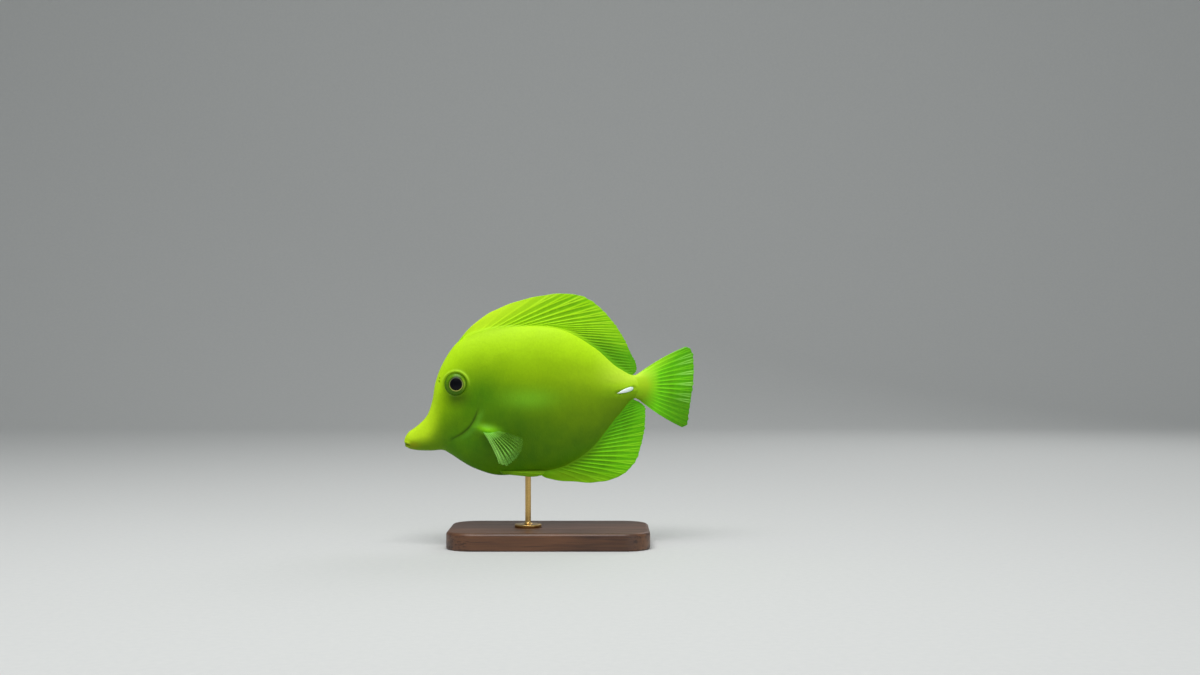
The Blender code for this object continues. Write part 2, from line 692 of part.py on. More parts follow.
def add_base(group, finish):
    shape = bmesh.new()
    bmesh.ops.create_cube(shape, size=1)
    bmesh.ops.scale(shape, vec=BASE_SIZE, verts=shape.verts)
    base = add_object("stand_base", mesh_from("stand_base", shape), group, finish)
    base.location = (0, 0, BASE_SIZE[2] / 2)
    mesh = base.data
    weights = mesh.attributes.new("bevel_weight_edge", "FLOAT", "EDGE")
    for edge in mesh.edges:
        a, b = (mesh.vertices[i].co for i in edge.vertices)
        weights.data[edge.index].value = float(abs(a.z - b.z) > BASE_SIZE[2] / 2)
    corners = base.modifiers.new("corners", "BEVEL")
    corners.limit_method = "WEIGHT"
    corners.width = BASE_CORNER
    corners.segments = 8
    rounding = base.modifiers.new("edges", "BEVEL")
    rounding.limit_method = "ANGLE"
    rounding.angle_limit = math.radians(60)
    rounding.width = BASE_ROUNDING
    rounding.segments = 3


def add_rod(group, clearance, finish):
    """The rod stands in a flange on the base and ends just under the belly."""
    foot = BASE_SIZE[2] + GAP * MM
    neck = foot + FLANGE_THICKNESS
    belly = BODY_SLICES[:, UNDERSIDE]
    top = AXIS_HEIGHT + np.interp(ROD_PLACE, belly[:, 0] * MM, belly[:, 1] * MM) + ROD_DEPTH
    profile = [(0, top), (ROD_RADIUS, top), (ROD_RADIUS, neck + FLANGE_FILLET)]
    for angle in np.linspace(0, math.pi / 2, 5)[1:]:
        across, down = FLANGE_FILLET * (1 - math.cos(angle)), FLANGE_FILLET * (1 - math.sin(angle))
        profile.append((ROD_RADIUS + across, neck + down))
    profile += [(FLANGE_RADIUS - FLANGE_EDGE, neck), (FLANGE_RADIUS, neck - FLANGE_EDGE)]
    profile += [(FLANGE_RADIUS, foot), (0, foot)]
    rod = add_object("stand_rod", turned("stand_rod", profile), group, finish)
    rod.location = (ROD_PLACE, 0, 0)
    add_screw(rod, ROD_SIDES)
    boolean(rod, clearance, "DIFFERENCE")


def main():
    clear_scene()
    fish, cutters = collection("yellow_tang"), collection("cutters")
    cutters.hide_render = True
    skin = material("skin", (0.62, 0.78, 0.03), 0.45)
    fin = material("fin", (0.5, 0.76, 0.03), 0.5)
    clear_fin = material("clear fin", (0.4, 0.68, 0.16), 0.5)
    eye = material("eye", (0.02, 0.02, 0.03), 0.1)
    blade = material("blade", (0.85, 0.9, 0.86), 0.3)
    wood = material("walnut", (0.12, 0.06, 0.035), 0.4)
    brass = material("brass", (0.72, 0.55, 0.27), 0.3, 1.0)
    head, trunk, stem, clearance = add_body(fish, cutters, skin)
    add_mouth(head, cutters)
    add_eyes(head, fish, cutters, eye)
    add_nostrils(head, cutters)
    shoulders = add_shoulders(trunk, cutters)
    add_median_fins(fish, clearance, fin)
    add_tail_fin(fish, clearance, fin)
    add_paired_fins(fish, clearance, shoulders, clear_fin, fin)
    add_blades(stem, fish, cutters, blade)
    add_base(fish, wood)
    add_rod(fish, clearance, brass)


main()
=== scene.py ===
# %% [markdown]
# # A yellow tang on a museum stand
#
# This lesson dresses the solid model of a small reef fish, 150 mm long, as the painted
# cast that a museum would show. The solids give the true size and the parts. Here each
# part gets the fine surface that the eye looks for: skin that folds round the eye and
# the gill, fins with rays that branch, a polished eye, and a walnut and brass stand.

# %% The frame
import math

import bmesh
import bpy
import numpy as np
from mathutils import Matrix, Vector


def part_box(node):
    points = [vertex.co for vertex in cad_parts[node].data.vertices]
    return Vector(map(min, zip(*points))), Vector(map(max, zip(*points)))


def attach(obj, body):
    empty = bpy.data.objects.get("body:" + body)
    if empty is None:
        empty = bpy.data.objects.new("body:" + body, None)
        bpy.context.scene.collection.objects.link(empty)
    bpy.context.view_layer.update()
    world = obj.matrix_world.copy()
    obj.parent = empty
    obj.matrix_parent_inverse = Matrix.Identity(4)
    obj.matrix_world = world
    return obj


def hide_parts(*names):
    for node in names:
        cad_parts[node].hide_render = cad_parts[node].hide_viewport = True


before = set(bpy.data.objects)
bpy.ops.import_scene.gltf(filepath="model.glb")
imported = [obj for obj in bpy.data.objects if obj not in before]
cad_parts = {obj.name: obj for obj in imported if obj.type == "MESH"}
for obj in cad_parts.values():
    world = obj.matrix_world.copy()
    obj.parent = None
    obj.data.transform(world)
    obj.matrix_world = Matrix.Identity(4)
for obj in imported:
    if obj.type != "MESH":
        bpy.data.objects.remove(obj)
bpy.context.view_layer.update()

MM = 0.001

# %% [markdown]
# ## Where the fish hangs
#
# Places on the fish are in millimetres in its own frame, which is easier to think in
# than the room's: x runs from the middle of its length, y to its right and z up from
# the centre line of the tail stem. One function carries points from there to the room.
# It also swings the tail a little to one side, as a swimming fish does, so that skin and
# fins bend together and can't part from each other.

# %% From fish to room
BASE_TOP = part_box("stand_base")[1].z
print("top of the plate:", round(BASE_TOP, 4), "m")
AXIS_HEIGHT = 0.082
TAIL_SWING, SWING_END = 3.0, 75.0


def placed(points):
    """y gains 3 mm times the square of x / 75 behind the middle; then z gains the height."""
    points = np.array(points, float)
    points[..., 1] += TAIL_SWING * np.clip(points[..., 0] / SWING_END, 0, None) ** 2
    points *= MM
    points[..., 2] += AXIS_HEIGHT
    return points


def ease(x):
    """3x² - 2x³ between 0 and 1, flat outside."""
    x = np.clip(x, 0, 1)
    return x * x * (3 - 2 * x)


def spline(knots, measured=slice(None)):
    """Cubic Hermite curve through the knots, its parameter the share of their chords."""
    knots = np.asarray(knots, float)
    chords = np.linalg.norm(np.diff(knots[:, measured], axis=0), axis=1)
    places = np.concatenate([[0], np.cumsum(chords)]) / chords.sum()
    slopes = np.gradient(knots, places, axis=0)

    def at(shares):
        shares = np.asarray(shares, float)
        i = np.clip(np.searchsorted(places, shares, side="right") - 1, 0, len(places) - 2)
        span = (places[i + 1] - places[i])[..., None]
        t = (shares - places[i])[..., None] / span
        ends = (2 * t**3 - 3 * t**2 + 1) * knots[i] + (3 * t**2 - 2 * t**3) * knots[i + 1]
        bend = (t**3 - 2 * t**2 + t) * slopes[i] + (t**3 - t**2) * slopes[i + 1]
        return ends + span * bend

    return at


# %% [markdown]
# ## Putting a surface into Blender
#
# A surface is a grid of points. numpy works the whole grid out at once, and one helper
# turns it into a mesh: it joins the last column to the first, caps the ends with a fan
# round one point, and keeps masks such as "how near the gill" as attributes of the
# points, so that a material can follow the shape exactly.

# %% Grid to mesh
# Points closer than this, in metres, are joined.
SAME_PLACE = 1e-7


def quads_between(rows, columns, closed):
    """Faces (i, j), (i, j+1), (i+1, j+1), (i+1, j), also past the last column where closed."""
    i, j = np.meshgrid(np.arange(rows - 1), np.arange(columns - (not closed)), indexing="ij")
    here, right = i * columns + j, i * columns + (j + 1) % columns
    return np.stack([here, right, right + columns, here + columns], axis=-1).reshape(-1, 4).tolist()


def grid_mesh(name, points, masks=None, caps=False):
    """A tube of quads, its two ends closed by triangles round their mean point if capped."""
    rows, columns = points.shape[:2]
    vertices = points.reshape(-1, 3)
    masks = {key: np.broadcast_to(value, (rows, columns)).ravel() for key, value in (masks or {}).items()}
    faces = quads_between(rows, columns, True)
    if caps:
        count, last = len(vertices), (rows - 1) * columns
        vertices = np.vstack([vertices, points[0].mean(axis=0), points[-1].mean(axis=0)])
        faces += [(count, (k + 1) % columns, k) for k in range(columns)]
        faces += [(count + 1, last + k, last + (k + 1) % columns) for k in range(columns)]
        ends = {key: [value[0], value[last]] for key, value in masks.items()}
        masks = {key: np.concatenate([value, ends[key]]) for key, value in masks.items()}
    mesh = bpy.data.meshes.new(name)
    mesh.from_pydata(vertices.tolist(), [], faces)
    for key, value in masks.items():
        layer = mesh.attributes.new(key, "FLOAT", "POINT")
        layer.data.foreach_set("value", np.asarray(value, np.float32))
    shape = bmesh.new()
    shape.from_mesh(mesh)
    bmesh.ops.remove_doubles(shape, verts=shape.verts, dist=SAME_PLACE)
    bmesh.ops.recalc_face_normals(shape, faces=shape.faces)
    shape.to_mesh(mesh)
    shape.free()
    mesh.shade_smooth()
    return mesh


def put(name, data):
    """A new object in the scene, at the origin."""
    made = bpy.data.objects.new(name, data)
    bpy.context.scene.collection.objects.link(made)
    return made


def add_piece(name, mesh, paint, slot, *nodes):
    """Shows the mesh as a piece that rides on the model and stands for the named solids."""
    piece = put(name, mesh)
    mesh.materials.append(paint)
    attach(piece, "root")
    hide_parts(*nodes)
    print(name, len(mesh.vertices), "points for", ", ".join(nodes))


# %% [markdown]
# ## A small language for materials
#
# A painted surface is layers: a ground colour, then other colours laid over it through
# masks, then fine grain. Two helpers keep that readable. `node` adds one shader node
# with its sockets filled, and `layered` lays colours over each other, each through a
# mask. Colours are written as they look on a screen and turned to light values by one
# formula.

# %% Material helpers
def screen(red, green, blue):
    """Light of a screen colour 0-255: ((c / 255 + 0.055) / 1.055)^2.4, c / 3295 up to 10."""
    light = [((c / 255 + 0.055) / 1.055) ** 2.4 if c > 10 else c / 255 / 12.92 for c in (red, green, blue)]
    return (*light, 1.0)


def node(tree, kind, settings=None, **sockets):
    """One node. A socket's name is its label with _ for spaces, or i0, i1 for its number."""
    made = tree.nodes.new("ShaderNode" + kind)
    for key, value in (settings or {}).items():
        setattr(made, key, value)
    for key, value in sockets.items():
        numbered = key[0] == "i" and key[1:].isdigit()
        socket = made.inputs[int(key[1:])] if numbered else made.inputs[key.replace("_", " ")]
        if isinstance(value, bpy.types.NodeSocket):
            tree.links.new(value, socket)
        else:
            socket.default_value = value
    return made


def maths(tree, operation, a, b=0.0):
    """The operation on a and b, which are sockets or numbers."""
    return node(tree, "Math", {"operation": operation}, i0=a, i1=b).outputs[0]


def times(tree, a, b):
    """a b"""
    return maths(tree, "MULTIPLY", a, b)


def mask(tree, name):
    """The value that the mesh keeps under this name."""
    return node(tree, "Attribute", {"attribute_name": name}).outputs["Fac"]


def mixed(tree, amount, under, over, way="MIX"):
    """under (1 - amount) + over amount. With MULTIPLY, over is first multiplied by under."""
    made = node(tree, "Mix", {"data_type": "RGBA", "blend_type": way}, i0=amount, i6=under, i7=over)
    return made.outputs[2]


def bell_of(tree, value, middle, width):
    """exp(-((v - middle) / width)²), worked out for each point that is lit."""
    away = maths(tree, "DIVIDE", maths(tree, "SUBTRACT", value, middle), width)
    return maths(tree, "EXPONENT", times(tree, times(tree, away, away), -1.0))


def layered(tree, ground, layers):
    """Each (mask, strength, colour) is mixed over what lies under it. A mask may be a name."""
    for name, strength, colour in layers:
        shown = mask(tree, name) if isinstance(name, str) else name
        ground = mixed(tree, times(tree, shown, strength), ground, colour)
    return ground


def own_place(tree, stretch):
    """The piece's own coordinates, each axis multiplied by its stretch."""
    place = node(tree, "TexCoord").outputs["Object"]
    return node(tree, "Mapping", Vector=place, Scale=stretch).outputs[0]


def grain(tree, scale, stretch=(1, 1, 1), detail=3.0):
    """Noise with this many cycles a metre."""
    place = own_place(tree, stretch)
    return node(tree, "TexNoise", Vector=place, Scale=scale, Detail=detail, Roughness=0.6).outputs[0]


def cells(tree, scale, stretch):
    """Distance to the nearest cell centre, for scales."""
    return node(tree, "TexVoronoi", Vector=own_place(tree, stretch), Scale=scale).outputs["Distance"]


def spread(tree, value, low, high):
    """The value, from 0 to 1, carried to run from low to high."""
    return node(tree, "MapRange", Value=value, To_Min=low, To_Max=high).outputs[0]


def finish(name, roughness=0.5, **sockets):
    """A material with these constants on its shader. Returns it, its tree and its shader."""
    made = bpy.data.materials.new(name)
    made.use_nodes = True
    shader = made.node_tree.nodes["Principled BSDF"]
    shader.inputs["Roughness"].default_value = roughness
    for key, value in sockets.items():
        shader.inputs[key.replace("_", " ")].default_value = value
    print("finish:", name)
    return made, made.node_tree, shader


def wire(tree, shader, colour, roughness=None, bump=None, depth=0.0001, strength=0.6):
    """Joins colour, roughness and a bump of that depth in metres to the shader."""
    tree.links.new(colour, shader.inputs["Base Color"])
    if roughness is not None:
        tree.links.new(roughness, shader.inputs["Roughness"])
    if bump is not None:
        raised = node(tree, "Bump", Strength=strength, Distance=depth, Height=bump)
        tree.links.new(raised.outputs[0], shader.inputs["Normal"])


# %% [markdown]
# ## The body's form
#
# A tang is a disc with a pointed snout. Round slices set square to its length would
# crowd on the steep forehead, so the slices lean: each has its own top and underside
# point on the outline, and half its width. A smooth curve through the slices gives any
# slice between them. Across a slice, the half width falls from the widest line to the
# keels of back and belly as a power of the sine: a power of 1 is an ellipse, and more
# makes the keel sharper.

# %% Slices of the body
# Each row: x and z of the slice's top, x and z of its underside, half its width.
BODY_SLICES = np.array(
    (
        (-75.3, -24.9, -75.3, -31.8, 3.2),  # lips
        (-68.3, -20.1, -68.3, -33.1, 3.8),  # snout
        (-63.6, -15.1, -61.5, -33.3, 4.8),  # root of the snout
        (-60.9, -7.6, -55.4, -33.0, 5.9),  # bridge
        (-59.3, 1.8, -51.0, -35.2, 6.9),  # brow
        (-56.0, 10.8, -46.3, -38.3, 7.8),  # forehead
        (-47.2, 23.5, -39.4, -42.2, 9.0),  # nape
        (-35.5, 29.2, -29.3, -45.6, 9.9),  # shoulder
        (-12.1, 31.8, -11.6, -44.9, 10.2),  # middle of the back
        (7.2, 30.1, 6.8, -42.2, 9.0),  # loin
        (23.3, 21.3, 21.7, -33.2, 6.7),  # rear of the loin
        (36.8, 9.6, 36.3, -15.1, 4.2),  # run to the tail
        (44.3, 5.9, 44.3, -6.3, 3.1),  # tail stem
        (50.6, 6.8, 50.6, -6.9, 1.5),  # root of the tail fin
    )
)
TOP, UNDERSIDE, HALF_WIDTH = slice(0, 2), slice(2, 4), slice(4, 5)
SNOUT_ROUNDING, STEM_ROUNDING = 3.4, 2.6
WIDEST_SHARE = 0.48
KEEL_ROUND, KEEL_SHARP = 1.0, 1.25
KEEL_FROM, KEEL_TO, KEEL_END = 0.16, 0.36, 0.8
BODY = spline(BODY_SLICES, slice(0, 4))
BODY_LENGTH = 0.5 * sum(
    np.linalg.norm(np.diff(BODY_SLICES[:, side], axis=0), axis=1).sum() for side in (TOP, UNDERSIDE)
)
print("length along the middle of the slices:", round(BODY_LENGTH, 1), "mm")


def body_points(shares, angles):
    """Height: widest line plus cos(angle) times the way to the keel. Half width: w |sin|^keel.

    Both shrink as sqrt(1 - d²) within the rounding of each tip, like the end of an ellipse.
    The stem's round end stays hidden in the thick root of the tail fin.
    """
    rows = BODY(shares)
    along = shares * BODY_LENGTH
    front = 1 - np.clip(along / SNOUT_ROUNDING, 0, 1)
    rear = 1 - np.clip((BODY_LENGTH - along) / STEM_ROUNDING, 0, 1)
    shrink = np.sqrt((1 - front**2) * (1 - rear**2))[:, None, None]
    top, low = rows[:, None, TOP], rows[:, None, UNDERSIDE]
    middle = (top + low) / 2
    top, low = middle + (top - middle) * shrink, middle + (low - middle) * shrink
    widest = low + WIDEST_SHARE * (top - low)
    up, out = np.cos(angles)[None, :, None], np.sin(angles)[None, :]
    flat = widest + np.where(up > 0, (top - widest) * up, (low - widest) * -up)
    sharp = ease((shares - KEEL_FROM) / (KEEL_TO - KEEL_FROM)) * ease((1 - shares) / (1 - KEEL_END))
    keel = (KEEL_ROUND + (KEEL_SHARP - KEEL_ROUND) * sharp)[:, None]
    half = rows[:, HALF_WIDTH] * shrink[..., 0] * np.abs(out) ** keel
    return np.stack([flat[..., 0], -np.sign(out) * half, flat[..., 1]], axis=-1)


# %% [markdown]
# ## What stands on the body's form
#
# The fine forms are all read in the side view, where a place has an x and a z: the step
# of the gill cover, the rim of bone round the eye and the socket inside it, the slit of
# the mouth between two lips, two nostrils, the fleshy shoulder of the pectoral fin, the
# groove of the blade on the tail stem and the lateral line. Each is a height in
# millimetres along the skin's normal. Adding heights keeps one skin with no seams, which
# carving with Booleans wouldn't.

# %% Places in the side view
GILL_LINE = (
    (-51.0, 33.0), (-46.3, 23.8), (-39.6, 12.0), (-36.2, 0.6), (-36.0, -8.0), (-37.6, -14.2),
    (-40.8, -20.0), (-45.0, -23.8), (-49.6, -26.6), (-52.8, -29.8), (-54.4, -34.5), (-55.2, -39.0),
)
GILL_RISE, GILL_REACH, GILL_HOLLOW, HOLLOW_REACH = 0.6, 4.0, 0.35, 3.0
GILL_TOP, GILL_LOW, GILL_FADE, GILL_STEP = -1.0, -29.0, 5.0, 0.22
SLIT_TOP, SLIT_FADE = -10.0, 5.0
# The share of their height that the gill's step keeps above its slit, and the lid below the eye.
FAINT = 0.35
EYE_PLACE, ORBIT_RADIUS = np.array((-48.0, 1.3)), 6.6
LID_RISE, LID_WIDTH, LID_FROM, LID_FADE = 0.65, 0.8, -2.0, 7.0
SOCKET_DEPTH, SOCKET_RADIUS, SOCKET_SLOPE = 3.0, 6.0, 1.8
MOUTH_TIP, MOUTH_CORNER = np.array((-75.9, -29.3)), np.array((-71.6, -30.6))
PARTING_DEPTH, PARTING_WIDTH = 0.55, 0.3
LIP_RISE, LIP_AWAY, LIP_WIDTH, LIP_END = 0.45, 0.95, 0.6, -69.0
# Each: x, z and radius.
NOSTRILS = ((-56.9, 4.4, 0.45), (-57.0, 2.6, 0.55))
NOSTRIL_DEPTH, FLAP_RISE, FLAP_AWAY, FLAP_WIDTH = 0.5, 0.1, 0.25, 0.22
SHOULDER_PLACE, SHOULDER_SIZE, SHOULDER_RISE, SHOULDER_TILT = (-31.2, -22.2), (5.763, 2.203), 2.7, 0.18
BLADE_TIP, BLADE_HEEL = np.array((35.2, -3.5)), np.array((43.7, -0.7))
GROOVE_DEPTH, GROOVE_WIDTH, GROOVE_SPREAD = 0.55, 1.0, 0.35
BANK_RISE, BANK_AWAY, BANK_WIDTH = 0.15, 1.6, 0.5
LATERAL_LINE = ((-37, 9), (-28, 15.5), (-14, 18.5), (2, 17), (16, 11), (28, 4.5), (38, 1), (46, 0))
LATERAL_RISE, LATERAL_WIDTH, LATERAL_FROM, LATERAL_FADE = 0.04, 0.45, -38.0, 4.0
# Each: depth, place and size of a shallow hollow below the eye, before and behind it.
FACE_HOLLOWS = ((0.35, (-57, -9), (5, 8)), (0.25, (-43, -9), (4, 6)))


def line_distance(x, z, knots, steps=160):
    """Distance to the curve, and the side: positive on its right, with x right and z up."""
    line = spline(knots)(np.linspace(0, 1, steps))
    place = np.stack([x, z], axis=-1)
    best, signed = np.full(x.shape, np.inf), np.zeros(x.shape)
    along = np.gradient(line, axis=0)
    along /= np.linalg.norm(along, axis=1)[:, None]
    for point, way in zip(line, along):
        away = place - point
        far = np.linalg.norm(away, axis=-1)
        side = away[..., 0] * way[1] - away[..., 1] * way[0]
        signed = np.where(far < best, side, signed)
        best = np.minimum(best, far)
    return best, signed


def bar_distance(x, z, start, end):
    """Distance to a straight piece of line, and how far along it, from 0 to 1."""
    run = end - start
    share = np.clip(((x - start[0]) * run[0] + (z - start[1]) * run[1]) / (run @ run), 0, 1)
    return np.hypot(x - start[0] - share * run[0], z - start[1] - share * run[1]), share


def bell(distance, width):
    """exp(-(d / w)²)"""
    return np.exp(-((distance / width) ** 2))


def blob(x, z, place, size):
    """A soft oval spot: exp(-(dx / a)² - (dz / b)²)"""
    return np.exp(-(((x - place[0]) / size[0]) ** 2) - ((z - place[1]) / size[1]) ** 2)


# %% Heights over the skin
def relief(x, z):
    """Height over the plain form in millimetres, and the masks that the paint needs."""
    _, ahead = line_distance(x, z, GILL_LINE)
    shown = ease((GILL_TOP - z) / GILL_FADE) * ease((z - GILL_LOW) / GILL_FADE)
    cover = 1 / (1 + np.exp(-np.clip(ahead / GILL_STEP, -30, 30)))
    rise = cover * GILL_RISE * np.exp(-np.clip(ahead, 0, None) / GILL_REACH)
    rise -= (1 - cover) * GILL_HOLLOW * np.exp(np.clip(ahead, None, 0) / HOLLOW_REACH)
    open_ = shown * ease((SLIT_TOP - z) / SLIT_FADE)
    height = (FAINT * shown + (1 - FAINT) * open_) * rise
    eye = np.hypot(x - EYE_PLACE[0], z - EYE_PLACE[1])
    lid = bell(eye - ORBIT_RADIUS, LID_WIDTH)
    over_eye = ease((z - EYE_PLACE[1] - LID_FROM) / LID_FADE)
    socket = ease((SOCKET_RADIUS - eye) / SOCKET_SLOPE)
    height += LID_RISE * lid * (FAINT + (1 - FAINT) * over_eye) - SOCKET_DEPTH * socket
    mouth, share_of_mouth = bar_distance(x, z, MOUTH_TIP, MOUTH_CORNER)
    gape = ease((1 - share_of_mouth) * 3 + 0.2)
    lips = bell(mouth - LIP_AWAY, LIP_WIDTH) * ease((1.05 - share_of_mouth) * 2.2) * (x < LIP_END)
    height += LIP_RISE * lips - PARTING_DEPTH * bell(mouth, PARTING_WIDTH) * gape
    nostril = sum(bell(np.hypot(x - nx, z - nz), size) for nx, nz, size in NOSTRILS)
    flap = sum(bell(np.hypot(x - nx, z - nz) - size - FLAP_AWAY, FLAP_WIDTH) for nx, nz, size in NOSTRILS)
    height += FLAP_RISE * flap - NOSTRIL_DEPTH * nostril
    shoulder = blob(x, z + SHOULDER_TILT * (x - SHOULDER_PLACE[0]), SHOULDER_PLACE, SHOULDER_SIZE)
    height += SHOULDER_RISE * shoulder
    blade, share = bar_distance(x, z, BLADE_TIP, BLADE_HEEL)
    groove = bell(blade, GROOVE_WIDTH + GROOVE_SPREAD * share)
    height += BANK_RISE * bell(blade - BANK_AWAY, BANK_WIDTH) - GROOVE_DEPTH * groove
    side, _ = line_distance(x, z, LATERAL_LINE)
    lateral = bell(side, LATERAL_WIDTH) * ease((x - LATERAL_FROM) / LATERAL_FADE)
    height += LATERAL_RISE * lateral
    height -= sum(depth * blob(x, z, place, size) for depth, place, size in FACE_HOLLOWS)
    masks = {
        "gill": np.clip(ahead, -8, 8),
        "slit": open_,
        "cover": shown * (1 - open_),
        "eye": np.clip(eye, 0, 20),
        "over_eye": over_eye,
        "socket": socket,
        "mouth": np.clip(mouth, 0, 8),
        "gape": gape,
        "lips": lips,
        "nostril": np.clip(nostril, 0, 1),
        "shoulder": shoulder,
        "groove": groove,
        "lateral": lateral,
    }
    return height, masks


# %% [markdown]
# The skin's grid is finer over the head than over the trunk, because a gill edge or a
# lip is half a millimetre wide. The rows are spaced by a density that is high in front
# and low behind, and both tips get rows spaced like a cosine, so that they close round.

# %% The skin
SKIN_ROWS, SKIN_SIDES, CAP_ROWS = 330, 260, 16
HEAD_SHARE, HEAD_DENSITY = 0.42, 2.6
RELIEF_SPREAD, TIP_FADE = 1.6, 0.004
# Soft spots of colour: the middle's x and z, and the size along x and z.
SPOTS = {
    "under_eye": ((-47.0, -5.6), (5.4, 4.0)),
    "cheek": ((-35, -5), (14.5, 14)),
    "throat": ((-44, -29), (12, 6)),
    "flank": ((14, -10), (30, 17)),
    "patch": ((-10, -6), (13, 5)),
    "rear": ((24, 6), (16, 7)),
    "chin": ((-70.5, -30.2), (3.4, 2.0)),
    "breast": ((-20, -24), (27, 20)),
}


def skin_shares():
    """Places along the body, their density falling from 2.6 to 1 past the gill."""
    even = np.linspace(0, 1, 2000)
    density = 1 + (HEAD_DENSITY - 1) * (1 - ease((even - HEAD_SHARE) / 0.1))
    passed = np.concatenate([[0], np.cumsum((density[1:] + density[:-1]) / 2)])
    front, rear = SNOUT_ROUNDING / BODY_LENGTH, 1 - STEM_ROUNDING / BODY_LENGTH
    inner = np.interp(np.linspace(0, 1, SKIN_ROWS), passed / passed[-1], even)
    inner = inner[(inner > front) & (inner < rear)]
    cap = 1 - np.cos(np.linspace(0, math.pi / 2, CAP_ROWS + 1)[1:])
    return np.concatenate([cap * front, inner, 1 - cap[::-1] * (1 - rear)])


def stem_height(z):
    """0 at the underside of the tail stem, 1 at its top, in the skin and the tail fin alike."""
    return np.clip((z + 7) / 14, 0, 1)


def normals_of(points):
    """Cross product of the grid's two derivatives; the second one wraps round."""
    down = np.gradient(points, axis=0)
    round_ = (np.roll(points, -1, axis=1) - np.roll(points, 1, axis=1)) / 2
    normal = np.cross(round_, down)
    length = np.linalg.norm(normal, axis=-1, keepdims=True)
    return normal / np.maximum(length, 1e-9)


def skin_mesh():
    """Plain form plus height times normal.

    The height fades where the skin turns away from the side, except on the lips, and it is
    0 at the snout's very tip.
    """
    shares = skin_shares()
    angles = np.arange(SKIN_SIDES) * 2 * math.pi / SKIN_SIDES
    form = body_points(shares, angles)
    x, z = form[..., 0], form[..., 2]
    height, masks = relief(x, z)
    normal = normals_of(form)
    normal *= np.sign((normal * (form - form.mean(axis=1, keepdims=True))).sum(axis=-1))[..., None]
    sideways = np.clip(np.abs(normal[..., 1]) * RELIEF_SPREAD, 0, 1)
    fade = ease(shares / TIP_FADE)[:, None]
    points = form + normal * (height * fade * np.maximum(sideways, masks["lips"]))[..., None]
    top, low = z.max(axis=1, keepdims=True), z.min(axis=1, keepdims=True)
    back = np.clip((z - low) / np.maximum(top - low, 1e-6), 0, 1)
    masks |= {key: blob(x, z, place, size) for key, (place, size) in SPOTS.items()}
    masks |= {
        "back": back,
        # Along the belly's keel, for painted light where the body turns under into shade.
        "keel": bell(z - low, 1.5) * ease((x + 24) / 8),
        "jaw": ease((-49 - x) / 9) * ease((0.45 - back) / 0.4),
        # The snout, most on its upper side: its yellow plus painted light.
        "snout": ease((-53 - x) / 12) * ease((back - 0.1) / 0.5),
        "stem": ease((x - 20) / 22),
        "height": stem_height(z),
        # The crease where the back fin's foot meets the back, for painted shade.
        "valley_shade": bell(top - z, 2.4) * ease((-14 - x) / 12) * ease((x + 46) / 6),
    }
    return grid_mesh("skin", placed(points), masks, caps=True)


# %% [markdown]
# ## Colour of the skin
#
# The living fish is one yellow, but the photograph's green light from above turns it lime
# on the back and leaf green on the belly. A museum's painter copies that with thin layers.
# The first layer follows the height on the flank: painted light on the back, painted
# shade towards the belly. Then come the greener cheek and throat, the pale patch behind
# the gill, the snout's yellow with painted light on its upper side, painted light along
# the belly's keel, a painted highlight on the bone over the eye, and painted shade in
# each fold and crease. The fine vertical grain of a tang's tiny scales comes last, in
# colour, gloss and bump alike.

# %% Skin finish
BLACK, GREY, WHITE = (0, 0, 0, 1), (0.5, 0.5, 0.5, 1), (1, 1, 1, 1)


def ramp(tree, value, stops):
    """Colours at places from 0 to 1, mixed straight between them."""
    made = node(tree, "ValToRGB", Fac=value)
    strip = made.color_ramp.elements
    while len(strip) < len(stops):
        strip.new(0.5)
    for element, (place, colour) in zip(strip, stops):
        element.position = place
        element.color = colour
    return made.outputs[0]


def rising(tree, value, low, high):
    """0 up to the low value, 1 from the high one on, straight between them."""
    return ramp(tree, value, ((low, BLACK), (high, WHITE)))


def falling(tree, value, low, high):
    """1 up to the low value, 0 from the high one on, straight between them."""
    return ramp(tree, value, ((low, WHITE), (high, BLACK)))


# From the underside to the back: painted shade low down, painted light on the back.
FLANK_COLOURS = (
    (0.0, screen(66, 128, 0)),
    (0.15, screen(64, 116, 0)),
    (0.35, screen(90, 136, 0)),
    (0.5, screen(116, 163, 0)),
    (0.65, screen(145, 190, 0)),
    (0.75, screen(156, 202, 2)),
    (0.87, screen(184, 234, 14)),
    (1.0, screen(204, 255, 32)),
)
# By height on the tail stem: painted shade on its underside, painted light on top.
STEM_COLOURS = (
    (0.0, screen(100, 144, 0)),
    (0.3, screen(136, 190, 12)),
    (0.55, screen(196, 248, 42)),
    (0.8, screen(216, 255, 72)),
    (1.0, screen(216, 255, 72)),
)


